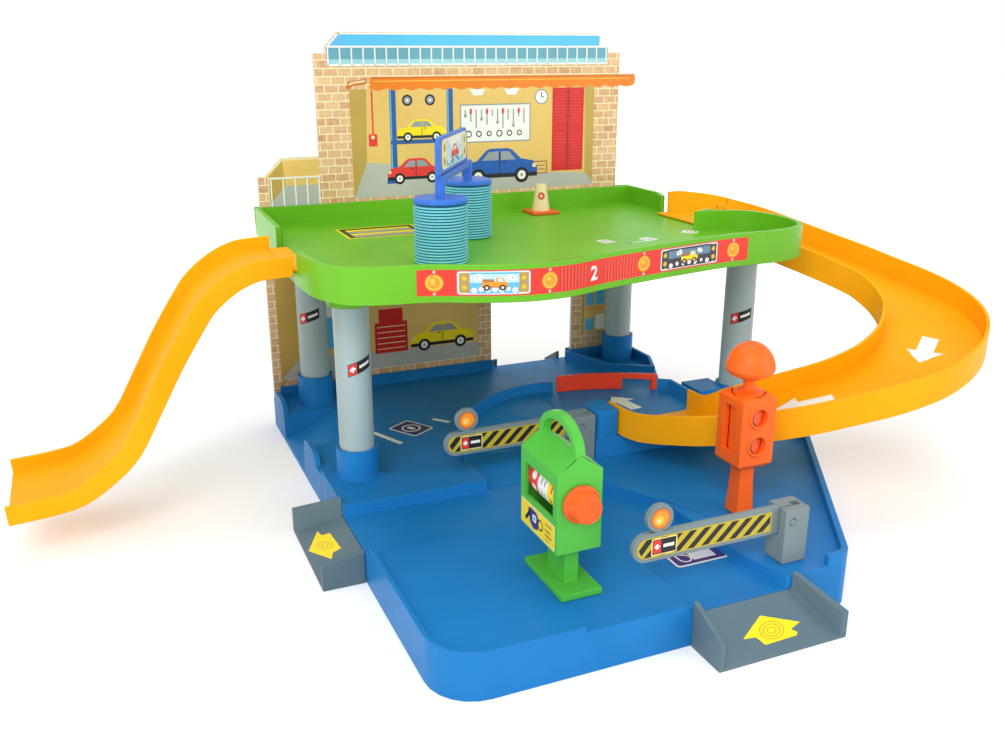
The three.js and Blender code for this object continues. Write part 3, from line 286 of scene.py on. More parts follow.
def printed(name, colour):
    """Ink on vinyl or card: flat colour with the slight unevenness and tooth of a print."""
    return plastic("printed " + name, colour, shine=0.38, haze=0.1, coat=0.15)


def circle(u, v, radius, steps=circle_steps):
    turns = (2 * math.pi * k / steps for k in range(steps))
    return [(u + radius * math.cos(a), v + radius * math.sin(a)) for a in turns]


def arc(u, v, radius, start, end, steps=12):
    turns = (math.radians(start + (end - start) * k / steps) for k in range(steps + 1))
    return [(u + radius * math.cos(a), v + radius * math.sin(a)) for a in turns]


def annulus(u, v, outer, inner):
    """A ring as one outline, closed by a hair-wide slit."""
    slit = 0.3
    rim = arc(u, v, outer, slit, 360 - slit, circle_steps)
    return rim + arc(u, v, inner, 360 - slit, slit, circle_steps)


def panel(left, right, low, high, round_by=0.0):
    if not round_by:
        return [(left, low), (right, low), (right, high), (left, high)]
    first, last = left + round_by, right - round_by
    foot, head = low + round_by, high - round_by
    outline = []
    for k, (u, v) in enumerate(((last, foot), (last, head), (first, head), (first, foot))):
        outline += arc(u, v, round_by, 90 * k - 90, 90 * k, 5)
    return outline


def turned(outline, u, v, degrees, scale=1.0):
    """An outline turned about its own origin, scaled, and moved to (u, v)."""
    c = math.cos(math.radians(degrees)) * scale
    s = math.sin(math.radians(degrees)) * scale
    return [(u + a * c - b * s, v + a * s + b * c) for a, b in outline]


def all_turned(shapes, u, v, degrees):
    return [(ink, turned(outline, u, v, degrees), layer) for ink, outline, layer in shapes]


def on_level(z):
    return lambda u, v, lift: spot(u, v, z + lift)


solid_trees = {}


def tree_of(node):
    if node not in solid_trees:
        data = frame["nodes"][node].data
        points = [v.co.copy() for v in data.vertices]
        faces = [tuple(p.vertices) for p in data.polygons]
        solid_trees[node] = BVHTree.FromPolygons(points, faces)
    return solid_trees[node]


def touched(node, start, way, lift):
    """The first place on a solid along a ray, lifted off its surface by millimetres."""
    hit, normal, _, _ = tree_of(node).ray_cast(start, way)
    return hit + normal * lift * mm


def laid_on(node):
    """Lays a film on a solid from above: it follows the surface, lifted along its normal."""
    return lambda u, v, lift: touched(node, spot(u, v, ray_start), Vector((0, 0, -1)), lift)


ink_white = printed("white", (0.86, 0.86, 0.82))
ink_navy = printed("navy", (0.02, 0.035, 0.16))
ink_violet = printed("violet", (0.05, 0.035, 0.22))
ink_yellow = printed("yellow", (0.92, 0.70, 0.008))
ink_red = printed("red", (0.74, 0.04, 0.03))
ink_black = printed("black", (0.012, 0.012, 0.014))
ink_sky = printed("sky blue", (0.12, 0.45, 0.78))
ink_grey = printed("grey", (0.30, 0.32, 0.34))
ink_mist = printed("mist blue", (0.66, 0.70, 0.84))
ink_amber = printed("amber", (0.90, 0.30, 0.02))
parking_top = 24.0
road_top = 21.0
bay_place = (86.5, 308.5)
bay_turn = -58
parking_sign = [
    (ink_white, panel(-14, 14, -11.5, 11.5, 2.5), 0),
    (ink_navy, panel(-12.6, 12.6, -10.1, 10.1, 1.6), 1),
    (ink_white, annulus(0, 0, 7.6, 6.2), 2),
    (ink_white, panel(-3.6, 3.6, -1.9, 1.9, 1.4), 2),
]
film("parking_sign", all_turned(parking_sign, *bay_place, bay_turn), on_level(parking_top))
line_half = 2.0
for number, ends in enumerate((((56, 312), (70, 281.5)), ((109, 321), (119, 309))), 1):
    start, end = (Vector(place) for place in ends)
    run = end - start
    side = Vector((-run.y, run.x)).normalized() * line_half
    corners = [tuple(c) for c in (start - side, end - side, end + side, start + side)]
    film(f"bay_line_{number}", [(ink_white, corners, 0)], on_level(parking_top))
fuel_place = (181, 52.5)
fuel_sign = [
    (ink_white, panel(-18, 18, -9.5, 9.5, 2.6), 0),
    (ink_violet, panel(-16.6, 16.6, -8.1, 8.1, 1.8), 1),
    (ink_white, panel(-4, 11.5, -4.8, 4.8), 2),
    (ink_mist, panel(-3.2, 10.7, -4, 4), 3),
    (ink_white, [*arc(-8.4, -1.4, 4.3, 190, 430, 18), (-13.4, 5.6)], 2),
    (ink_violet, [*arc(-8.4, -1.4, 3.3, 190, 430, 18), (-12, 3.8)], 3),
]
film("fuel_sign", all_turned(fuel_sign, *fuel_place, 0), on_level(road_top))
arrow = [(-3.4, -12), (3.4, -12), (3.4, 2), (8, 2), (0, 12), (-8, 2), (-3.4, 2)]
lane_arrow = turned(arrow, 241, 243.5, 4, 1.45)
film("lane_arrow", [(ink_white, lane_arrow, 0)], laid_on("base_lane"), fine_step)

# Guard. A red strip snaps on the lane's far edge and keeps cars from rolling off it.
# It is one thin moulding with a notch for a car's nose.
guard_red = plastic("guard red plastic", (0.86, 0.06, 0.02))
moulding("guard", guard_red, 0.5, "guard_strip")

# Access ramps. Three grey wedges hook on the base's edge; each is a floor between two flared walls.
# They are moulded in a duller plastic, and two carry a yellow arrow label with a target on it.
ramp_grey = plastic("access ramp grey plastic", (0.095, 0.155, 0.19), 0.42, 0.12)
for node in ("ramp_right", "ramp_left", "ramp_rear"):
    moulding(node, ramp_grey, 0.5)
ink_mustard = printed("mustard", (0.52, 0.40, 0.02))
right_arrow = [
    (182.2, -8.8), (204.2, -16), (196.4, -18), (199.6, -20),
    (198, -21.2), (177, -21.6), (173.6, -17.4), (165.6, -16.8),
]
left_arrow = [
    (-24.8, 182), (-15.9, 194.1), (-14.9, 186), (-10.6, 181),
    (-9.4, 157), (-13.8, 159.6), (-16.2, 154.8),
]
target_line = 0.6
for name, node, outline, middle, across, along in (
    ("right_access_arrow", "ramp_right", right_arrow, (184.8, -16.2), (1.35, 0), (0, 0.7)),
    ("left_access_arrow", "ramp_left", left_arrow, (-16.0, 173.5), (0.68, -1.29), (-0.18, -0.73)),
):
    label = [(ink_yellow, outline, 0)]
    for outer in (5.9, 4.2, 2.3):
        ring = []
        for u, v in annulus(0, 0, outer, outer - target_line):
            ring.append(tuple(middle[k] + u * across[k] + v * along[k] for k in (0, 1)))
        label.append((ink_mustard, ring, 1))
    film(name, label, laid_on(node), step=4)

# Columns. Four hollow grey tubes stand in the base's sockets and carry the deck.
# They are extruded tube, cut to length, each with a small slanted vinyl label wrapped round it.
column_grey = plastic("column grey plastic", (0.36, 0.46, 0.47), 0.32)
column_radius = 12
label_slant = 0.33
column_label = [
    (ink_black, panel(-8.5, 8.5, -4.2, 4.2), 0),
    (ink_red, panel(-8, -2.5, -3.7, 3.7), 1),
    (ink_white, turned(panel(-1.5, 1.5, -1.5, 1.5), -5.2, 0, 45), 2),
    (ink_white, panel(-0.8, 7.2, -1, 1), 1),
]


def round_a_post(x, y, z, radius, facing, slant=0.0):
    """Lays a film round an upright round post, from arc and height in millimetres."""

    def place(u, v, lift):
        angle = math.radians(facing) + u / radius
        reach = radius + lift
        return spot(x + reach * math.cos(angle), y + reach * math.sin(angle), z + v + slant * u)

    return place


for node, x, y, z, facing in (
    ("column_front_left", 23, 232, 109.7, -81),
    ("column_rear_left", 32, 398, 101.8, -112),
    ("column_rear_right", 327, 405, 108.0, -85),
    ("column_right", 343, 242, 107.7, -115),
):
    moulding(node, column_grey, 0.4, node + "_tube")
    place = round_a_post(x, y, z, column_radius, facing, label_slant)
    film(node + "_label", column_label, place, step=2)

# Deck. A green tray with a deep wavy rim lies on the columns, which end in its collars.
# One large glossy moulding, open where the slide and the winding ramp hook in.
deck_green = plastic("deck green plastic", (0.13, 0.44, 0.010))
moulding("deck", deck_green, 0.45, "deck_tray")
deck_top = 172.0

# Fascia label. A long red vinyl strip follows the deck's front rim, with amber lamps, two picture
# panels in grey frames, a ribbed middle and the level's plain number. The ribs are drawn flat:
# their dark red lines are painted shade and their light red lines painted highlights.
fascia_red = plastic("fascia red", (0.74, 0.035, 0.02), shine=0.38, haze=0.1, coat=0.15)
# Dark red for painted shade between the ribs and light red for painted highlights on them.
ink_painted_rib_shade = printed("painted rib shade red", (0.50, 0.02, 0.015))
ink_painted_rib_highlight = printed("painted rib highlight red", (0.88, 0.16, 0.10))
ink_cream = printed("cream", (0.80, 0.66, 0.36))
ink_amber_deep = printed("deep amber", (0.78, 0.16, 0.01))
ink_lamp = printed("lamp yellow", (0.95, 0.50, 0.05))
ink_foam = printed("foam blue", (0.46, 0.70, 0.88))
ink_lemon = printed("lemon", (0.88, 0.78, 0.30))
ink_rust = printed("rust brown", (0.42, 0.15, 0.05))
fascia_low = 168.6
fascia_high = 184.6
fascia_left = 46.0
fascia_right = 293.5
fascia_middle = (fascia_low + fascia_high) / 2


def on_fascia(u, v, lift):
    return touched("deck", spot(u, -200, v), Vector((0, 1, 0)), lift)


def discs(u, v, *rows):
    """Discs of ink about one middle, each as (ink, radius, layer, steps)."""
    return [(ink, circle(u, v, radius, *steps), layer) for ink, radius, layer, *steps in rows]


lamp_shapes = []
for u in (56.1, 122.9, 200.0, 280.8):
    lamp_shapes += discs(u, fascia_middle, (ink_amber_deep, 5.5, 1), (ink_lamp, 4.8, 2), (ink_amber, 3.6, 3))
    lamp_shapes += discs(u - 0.8, fascia_middle + 1.1, (ink_lamp, 1.4, 4, 14))
    for v in (fascia_middle - 6.7, fascia_middle + 6.7):
        lamp_shapes += discs(u, v, (ink_grey, 1.1, 2, 12), (ink_cream, 0.7, 3, 10))
# Each rib is a dark red line of painted shade with a light red line of painted highlight beside it.
rib_shapes = []
rib_pitch = 2.6
rib_levels = (fascia_low + 1.0, fascia_high - 1.0)
for left, right in ((130.0, 150.0), (166.0, 193.0)):
    for k in range(int((right - left) / rib_pitch) + 1):
        at = left + rib_pitch * k
        rib_shapes.append((ink_painted_rib_shade, panel(at, at + 0.8, *rib_levels), 1))
        rib_shapes.append((ink_painted_rib_highlight, panel(at + 0.8, at + 1.3, *rib_levels), 1))


def picture(left, right, paint, sides, back, haze):
    """A framed panel with a plain pattern: a little truck of no make among waves and clouds."""
    middle = (left + right) / 2
    low = fascia_low + 1.6
    high = fascia_high - 1.4
    first = left + 7
    last = right - 7
    shapes = [
        (ink_grey, panel(left, right, low - 0.8, high + 0.8, 1.8), 1),
        (ink_white, panel(left + 0.5, right - 0.5, low - 0.4, high + 0.4, 1.4), 2),
        (sides, panel(left + 1.2, right - 1.2, low + 0.3, high - 0.3, 1.0), 3),
        (back, panel(first, last, low, high), 4),
        (haze, panel(first, last, low + 6.6, high - 1.2), 5),
    ]
    for k in range(7):
        at = first + 2.4 + (last - first - 4.8) * k / 6
        wave = circle(at, low + 1.9 + 0.8 * (k % 2), 1.7 - 0.25 * (k % 3), 12)
        shapes.append((ink_white, wave, 6 + k % 2))
    for offset, rise, size in ((-10.5, 9.6, 1.5), (-8.6, 10.2, 1.9), (8.8, 9.8, 1.7), (10.6, 9.2, 1.3)):
        shapes += discs(middle + offset, low + rise, (ink_white, size, 6, 12))
    hull = [(-7.4, 3.6), (7.6, 3.6), (7.6, 6.4), (5.8, 7.2), (4.6, 9.8), (0.8, 9.8), (0.4, 7.4), (-7.4, 7)]
    pane = [(1.5, 7.3), (5, 7.3), (4.1, 9.2), (1.6, 9.2)]
    shapes += [
        (paint, turned(hull, middle, low, 0), 8),
        (ink_rust, panel(middle - 7, middle - 0.4, low + 7, low + 8.8), 9),
        (ink_foam, turned(pane, middle, low, 0), 9),
        (ink_rust, panel(middle - 7.4, middle + 7.6, low + 3.6, low + 4.5), 9),
    ]
    for offset in (-4.6, 4.4):
        shapes += discs(middle + offset, low + 3.6, (ink_black, 1.9, 10, 14), (ink_cream, 0.9, 11, 10))
    for side in (-1, 1):
        edge = middle + side * ((right - left) / 2 - 4.1)
        for rise, size in ((2.9, 1.7), (-2.6, 1.7), (6.0, 0.6), (-5.7, 0.6)):
            rivet = ((ink_mustard, size, 5, 12), (ink_lamp, size * 0.5, 6, 10))
            shapes += discs(edge, fascia_middle + rise, *rivet)
    return shapes


ink_gold = printed("old gold", (0.42, 0.27, 0.09))
ink_steel = printed("steel blue", (0.13, 0.24, 0.36))
ink_dusk = printed("dusk", (0.035, 0.04, 0.055))
first_picture = picture(68.5, 110.5, ink_amber, ink_gold, ink_sky, ink_foam)
second_picture = picture(214.5, 266.5, ink_yellow, ink_dusk, ink_dusk, ink_steel)
strip = panel(fascia_left, fascia_right, fascia_low, fascia_high, 1.5)
fascia = [(fascia_red, strip, 0), *lamp_shapes, *rib_shapes, *first_picture, *second_picture]
film("fascia_label", fascia, on_fascia, step=3)
number_text = bpy.data.curves.new("level number", "FONT")
number_text.body = "2"
number_text.size = 12.4
number_text.offset = 0.42
number_text.resolution_u = 4
number_shape = shown("level number", number_text)
bpy.context.view_layer.update()
number_mesh = bpy.data.meshes.new_from_object(number_shape)
bpy.data.objects.remove(number_shape)
digit = bmesh.new()
digit.from_mesh(number_mesh)
digit_at = (154.0, fascia_middle - 4.3)
raised = film_lift + film_thickness + 4 * ink_step
bmesh.ops.remove_doubles(digit, verts=digit.verts, dist=0.001)
front = digit.faces[:]
grown = bmesh.ops.extrude_face_region(digit, geom=front)
lifted = {v for v in grown["geom"] if isinstance(v, bmesh.types.BMVert)}
for vertex in digit.verts:
    u = digit_at[0] + vertex.co.x
    v = digit_at[1] + vertex.co.y
    vertex.co = on_fascia(u, v, raised if vertex in lifted else film_lift)
bmesh.ops.recalc_face_normals(digit, faces=digit.faces)
digit.to_mesh(number_mesh)
digit.free()
number_mesh.materials.clear()
number_mesh.materials.append(ink_white)
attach(shown("level_number", number_mesh), "garage")

# Deck labels. Small vinyl labels on the deck: the service pit in black and yellow bars, and bay marks.
pit_left, pit_right = 52.0, 116.0
pit_front, pit_back = 340.0, 384.0
pit = [
    (ink_yellow, panel(pit_left, pit_right, pit_front, pit_back, 2), 0),
    (ink_black, panel(pit_left + 2, pit_right - 2, pit_front + 2, pit_back - 2, 1), 1),
]
bar = 7.0
for k in range(4):
    low = pit_front + 4 + k * (bar + 1.2)
    shade = ink_yellow if k % 2 else ink_grey
    pit.append((shade, panel(pit_left + 6, pit_right - 6, low, low + bar), 2))
film("pit_label", pit, on_level(deck_top))
bay_mark = [(ink_white, panel(-5, 5, -6, 6, 0.8), 0)]
for k in range(3):
    bay_mark.append((ink_grey, panel(-3.6, 3.6, -4.4 + 3.2 * k, -2.6 + 3.2 * k), 1))
for number, place in enumerate(((226.5, 255, 12), (261, 251, 12), (307, 264, 40)), 1):
    film(f"bay_mark_{number}", all_turned(bay_mark, *place), on_level(deck_top))
pointer_at = (241, 243)
hand = turned(panel(0, 16, -0.6, 0.6), *pointer_at, 8)
film("deck_pointer", [(ink_black, circle(*pointer_at, 1.8), 0), (ink_white, hand, 1)], on_level(deck_top))

# Slide and winding ramp. Two yellow channels with raised edges hang from the deck by a tongue.
# Both are glossy mouldings with a thin skirt under the floor; white arrow labels show the way down.
chute_yellow = plastic("chute yellow plastic", (0.93, 0.385, 0.0), 0.42, coat=0.0, gloss=0.12)
moulding("slide", chute_yellow, 0.6, "slide_channel")
moulding("curved_ramp", chute_yellow, 0.6, "winding_ramp_channel")
way_arrow = [(-4.6, -14), (4.6, -14), (4.6, 1), (10, 1), (0, 14), (-10, 1), (-4.6, 1)]
arrow_places = ((417, 229, 210, 1.0), (409, 112, 124, 1.25), (306.5, 116, 64, 1.5))
for number, place in enumerate(arrow_places, 1):
    pointer = [(ink_white, turned(way_arrow, *place), 0)]
    film(f"way_arrow_{number}", pointer, laid_on("curved_ramp"), fine_step)

# Back cards. Laminated board printed as a brick workshop stands in a groove of the base and the deck.
# The print is laid in layers of ink; its rails are fine raised bars, and the board's edge is bare.
card_board = plastic("card board", (0.78, 0.70, 0.56), 0.55, 0.1)
card_front = 422.9
card_back = 425.9


def bricked(material, body):
    """Courses of mixed bricks between pale joints, over the card's upright plane."""
    upright = node_of(material, "ShaderNodeMapping", {"Rotation": (-math.pi / 2, 0, 0)})
    courses = {
        "Scale": 100,
        "Brick Width": 1.16,
        "Row Height": 0.64,
        "Mortar Size": 0.05,
        "Mortar Smooth": 0.4,
        "Bias": -0.1,
        "Mortar": (0.90, 0.78, 0.52, 1),
        "Color2": (0.55, 0.27, 0.13, 1),
    }
    wall = node_of(material, "ShaderNodeTexBrick", courses, offset=0.5, squash=1.0)
    join(material, placed(material), upright.inputs["Vector"])
    join(material, upright.outputs["Vector"], wall.inputs["Vector"])
    join(material, body, wall.inputs["Color1"])
    cloud = ranged(material, grain(material, 240, 5, 0.7), 0.4, 0.7, 0, 0.45)
    return blended(material, cloud, wall.outputs["Color"], (0.86, 0.70, 0.42))


ink_brick = plastic("printed brick", (0.72, 0.44, 0.22), 0.45, 0.1, 0.1, 0.15, bricked)
ink_wall = printed("yellow wall", (0.76, 0.50, 0.14))
ink_side_wall = printed("shaded wall", (0.50, 0.33, 0.07))
ink_floor = printed("workshop floor", (0.46, 0.46, 0.42))
ink_band = printed("roof blue", (0.10, 0.50, 0.80))
ink_teal = printed("shaded teal", (0.13, 0.36, 0.46))
ink_pool = printed("light teal", (0.32, 0.62, 0.68))
ink_deep_blue = printed("car blue", (0.015, 0.10, 0.42))
ink_awning = printed("awning orange", (0.80, 0.21, 0.005))
ink_awning_dark = printed("awning shade", (0.60, 0.15, 0.01))
ink_post = printed("hoist blue", (0.02, 0.10, 0.32))
ink_locker = printed("locker red", (0.62, 0.014, 0.01))


def facing_front(y):
    """Lays a film on an upright face that looks to the front, and facing_back on one that looks back."""
    return lambda u, v, lift: spot(u, y - lift, v)


def facing_back(y):
    return lambda u, v, lift: spot(-u, y + lift, v)


def mirrored(shapes):
    return [(ink, [(-u, v) for u, v in outline], layer) for ink, outline, layer in shapes]


def car_print(u, v, length, paint, way=1):
    """A plain little car seen from the side, of no make."""
    body = [
        (-0.5, 0.07), (-0.5, 0.19), (-0.45, 0.25), (-0.3, 0.28), (-0.18, 0.4), (-0.12, 0.42),
        (0.1, 0.42), (0.16, 0.4), (0.28, 0.29), (0.44, 0.26), (0.5, 0.19), (0.5, 0.07),
    ]
    rear_pane = [(-0.24, 0.28), (-0.15, 0.38), (-0.02, 0.385), (-0.02, 0.28)]
    front_pane = [(0.01, 0.28), (0.01, 0.385), (0.12, 0.38), (0.21, 0.28)]
    wheel = (
        (ink_black, length * 0.095, 10, 18),
        (ink_white, length * 0.055, 11, 14),
        (ink_grey, length * 0.02, 12, 10),
    )

    def scaled(points):
        return [(u + way * length * a, v + length * b) for a, b in points]

    shapes = [
        (paint, scaled(body), 8),
        (ink_black, scaled(panel(-0.5, 0.5, 0.07, 0.12)), 9),
        (ink_grey, scaled(rear_pane), 9),
        (ink_grey, scaled(front_pane), 9),
    ]
    for axle in (-0.29, 0.29):
        shapes += discs(u + way * length * axle, v + length * 0.09, *wheel)
    shapes += discs(u + way * length * 0.46, v + length * 0.2, (ink_cream, length * 0.028, 9, 10))
    shapes.append((ink_black, scaled(panel(-0.01, 0.0, 0.12, 0.38)), 10))
    shapes.append((ink_black, scaled(panel(0.03, 0.08, 0.245, 0.26)), 10))
    return shapes


on_card = facing_front(card_front)
on_card_back = facing_back(card_back)


upper_edge = [
    (1.1, 172.6), (328.5, 172.6), (328.5, 305.6), (316.6, 305.6), (316.6, 310.6), (308, 310.6),
    (308, 321.6), (71.5, 321.6), (61.5, 310.6), (61.5, 305.6), (51.5, 305.6),
    (51.5, 225.6), (20.2, 225.6), (7.3, 211.6), (1.1, 211.6),
]
scallop = 14.6
awning_left, awning_right, awning_foot = 96.0, 343.0, 278.3
awning = [(97.5, 287.4), (awning_left, 278.5)]
for k in range(17):
    for share, drop in ((0.2, 0.9), (0.5, 2.0), (0.8, 0.9), (1.0, 0.0)):
        at = awning_left + scallop * (k + share)
        if at < awning_right:
            awning.append((at, awning_foot - drop))
awning += [(344.5, 279.0), (345.4, 282.5), (344.6, 287.0)]
awning_end = [(76.4, 279.4), (79, 284), (93.7, 286.2), (93, 281.5), (82, 280.5), (78, 277.5)]
workshop = [
    (ink_brick, upper_edge, 0),
    (ink_band, [(62.6, 311), (72.3, 320.9), (307.6, 321.1), (307.6, 311)], 1),
    (ink_sky, [(62.6, 311), (72.3, 320.9), (78, 320.9), (76, 311)], 2),
    (ink_white, [(61.9, 310.8), (71.9, 321.2), (73.4, 321.2), (63.4, 310.8)], 3),
    (ink_white, [(72, 320.2), (72, 321.3), (307.7, 321.3), (307.7, 320.2)], 3),
    (ink_teal, panel(61.9, 316.2, 296.6, 310.8), 1),
    (ink_pool, panel(61.9, 316.2, 296.6, 301.2), 2),
    (ink_side_wall, [(79.5, 190), (79, 278), (93.3, 278), (91.5, 219)], 2),
    (ink_wall, [(91.5, 219), (93.3, 278), (304, 277.5), (304, 196)], 2),
    (ink_floor, [(79.5, 190), (91.5, 219), (200, 207), (304, 201), (304, 190.5)], 3),
    (ink_side_wall, [(296, 202), (294, 277.5), (304, 277.5), (304, 193)], 4),
    (ink_grey, panel(174.8, 241.2, 231.8, 264.2, 1), 3),
    (ink_white, panel(176, 240, 233, 263, 1), 4),
    (ink_grey, annulus(251.5, 269.2, 6.6, 5.4), 5),
    (ink_white, circle(251.5, 269.2, 5.4), 4),
    (ink_black, panel(251.1, 251.9, 269, 273.4), 5),
    (ink_black, panel(251.1, 254.4, 268.7, 269.4), 5),
    (ink_red, panel(97, 98.4, 241, 277), 3),
    (ink_red, panel(93.8, 101.2, 232, 242, 0.8), 4),
    (ink_cream, circle(97.5, 239.4, 1.6, 14), 5),
    (ink_locker, panel(262.3, 293.6, 204.4, 276.6), 5),
    (ink_black, panel(277.6, 278.3, 204.4, 276.6), 6),
    (ink_post, panel(112.5, 118, 203, 277.4), 5),
    (ink_post, panel(163, 168.5, 200, 277.4), 5),
    (ink_band, panel(113, 114, 203, 277.4), 6),
    (ink_band, panel(163.5, 164.5, 200, 277.4), 6),
    (ink_post, panel(108.5, 122, 200.6, 203.6), 6),
    (ink_post, panel(159.5, 172, 198.6, 201.4), 6),
    (ink_post, panel(112.5, 168.5, 233, 236.4), 7),
    (ink_awning_dark, awning_end, 5),
    (ink_cream, [(78.2, 280.6), (80.2, 283.4), (92.6, 285.2), (92.2, 283.4), (82.6, 282.2)], 6),
    (ink_awning, awning, 6),
    (ink_awning_dark, panel(98, 344, 285.9, 287.1), 7),
    (ink_lamp, panel(100, 340, 283.6, 284.3), 7),
]
tool_top = 259.6
for k in range(12):
    left = 179.0 + 5.0 * k
    foot = tool_top - (5 + (k * 5) % 12)
    workshop.append((ink_grey, panel(left, left + 1.3, foot, tool_top), 5))
    if k % 3 == 0:
        workshop += discs(left + 0.65, foot, (ink_grey, 1.5, 6, 12))
    elif k % 3 == 1:
        workshop.append((ink_red, panel(left - 0.5, left + 1.8, 255.8, 260.2, 0.5), 6))
for k in range(6):
    less = 0.3 * (k % 3)
    workshop.append((ink_black, annulus(182.5 + 9.6 * k, 239.2, 3.0 - less, 2.0 - less), 5))
for at in (128.0, 148.0):
    workshop += discs(at, 268.5, (ink_black, 4.6, 3, 18), (ink_grey, 3.0, 4, 16), (ink_white, 1.2, 6, 12))
for at in (184, 216):
    shade = [(at, 276.6), (at + 14, 276.6), (at + 11, 271.4), (at + 3, 271.4)]
    workshop.append((ink_white, shade, 3))
workshop += [
    (ink_rust, panel(240, 258, 202.6, 214, 0.5), 5),
    (ink_wall, panel(241.2, 256.8, 203.8, 212.8), 6),
    (ink_black, panel(242.4, 255.6, 206.2, 206.8), 7),
    (ink_black, panel(242.4, 255.6, 209.6, 210.2), 7),
]
workshop += car_print(140.5, 234.5, 44, ink_yellow)
workshop += car_print(134.0, 200.0, 50, ink_red, -1)
workshop += car_print(212.0, 196.0, 72, ink_deep_blue)
balcony = [
    (ink_cream, [(8.6, 186), (8.6, 212.6), (20.7, 225.6), (50.9, 225.6), (50.9, 186)], 1),
    (ink_wall, [(9.5, 187), (9.5, 211.8), (21.2, 223.6), (50.8, 223.6), (50.8, 187)], 2),
    (ink_side_wall, [(9.5, 211.8), (21.2, 223.6), (22.4, 203.4), (9.5, 189)], 3),
    (ink_floor, [(9.5, 184.5), (9.5, 189), (22.4, 203.4), (50.8, 203.4), (50.8, 184.5)], 4),
]
for node in ("card_upper", "card_lower_left", "card_lower_right"):
    moulding(node, card_board, 0.2, node + "_board")
film("card_upper_print", workshop + balcony, on_card)
film("card_upper_back_print", mirrored([(ink_brick, upper_edge, 0)]), on_card_back)
lower_levels = (26.8, 163.5)
lower_workshop = [
    (ink_brick, panel(1.6, 202.4, *lower_levels), 0),
    (ink_side_wall, [(8.2, 30), (8.2, 163.3), (28, 163.3), (26, 57)], 1),
    (ink_wall, [(26, 57), (28, 163.3), (190, 163.3), (190, 50.5)], 1),
    (ink_floor, [(8.2, 38.6), (26, 57), (190, 52), (190, 38.6)], 2),
    (ink_band, panel(46, 72, 62, 112, 0.8), 3),
    (ink_white, panel(49, 69, 90, 109, 0.6), 4),
    (ink_locker, panel(92, 122, 52, 80, 0.8), 3),
    (ink_locker, panel(96, 118, 80, 92, 0.8), 3),
]
lower_workshop += [(ink_cream, panel(94, 120, 55.5 + 5.0 * k, 56.3 + 5.0 * k), 4) for k in range(5)]
lower_workshop += car_print(155.0, 50.0, 60, ink_yellow, -1)
film("card_lower_left_print", lower_workshop, on_card)
shelf = [
    (ink_brick, panel(286.6, 327.4, *lower_levels), 0),
    (ink_wall, panel(297, 325.4, 48, 128), 1),
    (ink_side_wall, panel(297, 299.4, 48, 128), 2),
]
for k, goods in enumerate((ink_band, ink_sky, ink_white)):
    level = 50.0 + 25.0 * k
    shelf.append((ink_amber, panel(299.4, 325.4, level + 21.0, level + 22.6), 2))
    shelf.append((goods, panel(301.0, 310.0, level, level + 12.0, 0.6), 3))
    shelf.append((ink_band if k else ink_white, panel(312.0, 322.0, level, level + 15.0, 2.0), 3))
film("card_lower_right_print", shelf, on_card)
for name, left, right in (("left", 1.6, 202.4), ("right", 286.6, 327.4)):
    back = [(ink_brick, panel(-right, -left, *lower_levels), 0)]
    film(f"card_lower_{name}_back_print", back, on_card_back)


def row_tree(name, sizes, made):
    """A node tree that sets copies of one thing in a row. made() adds the thing, from its named sizes."""
    tree = bpy.data.node_groups.new(name, "GeometryNodeTree")
    kinds = {"Count": "Int", "First place": "Vector", "Pitch": "Vector", **sizes, "Finish": "Material"}
    for label, kind in kinds.items():
        tree.interface.new_socket(label, in_out="INPUT", socket_type="NodeSocket" + kind)
    tree.interface.new_socket("Row", in_out="OUTPUT", socket_type="NodeSocketGeometry")
    given = tree.nodes.new("NodeGroupInput").outputs
    result = tree.nodes.new("NodeGroupOutput")
    line = tree.nodes.new("GeometryNodeMeshLine")
    line.mode = "OFFSET"
    copies = tree.nodes.new("GeometryNodeInstanceOnPoints")
    real = tree.nodes.new("GeometryNodeRealizeInstances")
    finish = tree.nodes.new("GeometryNodeSetMaterial")
    for source, target in (
        (given["Count"], line.inputs["Count"]),
        (given["First place"], line.inputs["Start Location"]),
        (given["Pitch"], line.inputs["Offset"]),
        (line.outputs["Mesh"], copies.inputs["Points"]),
        (made(tree, given), copies.inputs["Instance"]),
        (copies.outputs["Instances"], real.inputs["Geometry"]),
        (real.outputs["Geometry"], finish.inputs["Geometry"]),
        (given["Finish"], finish.inputs["Material"]),
        (finish.outputs["Geometry"], result.inputs["Row"]),
    ):
        tree.links.new(source, target)
    return tree


def one_bar(tree, given):
    bar = tree.nodes.new("GeometryNodeMeshCube")
    tree.links.new(given["Bar size"], bar.inputs["Size"])
    return bar.outputs["Mesh"]


def grown_from(tree, piece, body, **values):
    """Evaluates a node tree with the given inputs and keeps the result as a plain mesh."""
    shape = shown(piece, bpy.data.meshes.new(piece))
    growth = shape.modifiers.new("growth", "NODES")
    growth.node_group = tree
    for item in tree.interface.items_tree:
        if item.in_out == "INPUT":
            growth[item.identifier] = values[item.name.lower().replace(" ", "_")]
    view = bpy.context.evaluated_depsgraph_get()
    mesh = bpy.data.meshes.new_from_object(shape.evaluated_get(view))
    shape.modifiers.remove(growth)
    work = bmesh.new()
    work.from_mesh(mesh)
    bmesh.ops.recalc_face_normals(work, faces=work.faces)
    work.to_mesh(mesh)
    work.free()
    shape.data = mesh
    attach(shape, body)
    return shape


bar_row = row_tree("row of printed bars", {"Bar size": "Vector"}, one_bar)
bar_depth = 0.5


def bars(piece, count, first, pitch, size, ink):
    """A row of thin upright bars of raised ink on the card's face, from sheet millimetres."""
    grown_from(
        bar_row,
        piece,
        "garage",
        count=count,
        first_place=spot(first[0], card_front - bar_depth / 2, first[1]),
        pitch=(pitch[0] * mm, 0, pitch[1] * mm),
        bar_size=(size[0] * mm, bar_depth * mm, size[1] * mm),
        finish=ink,
    )


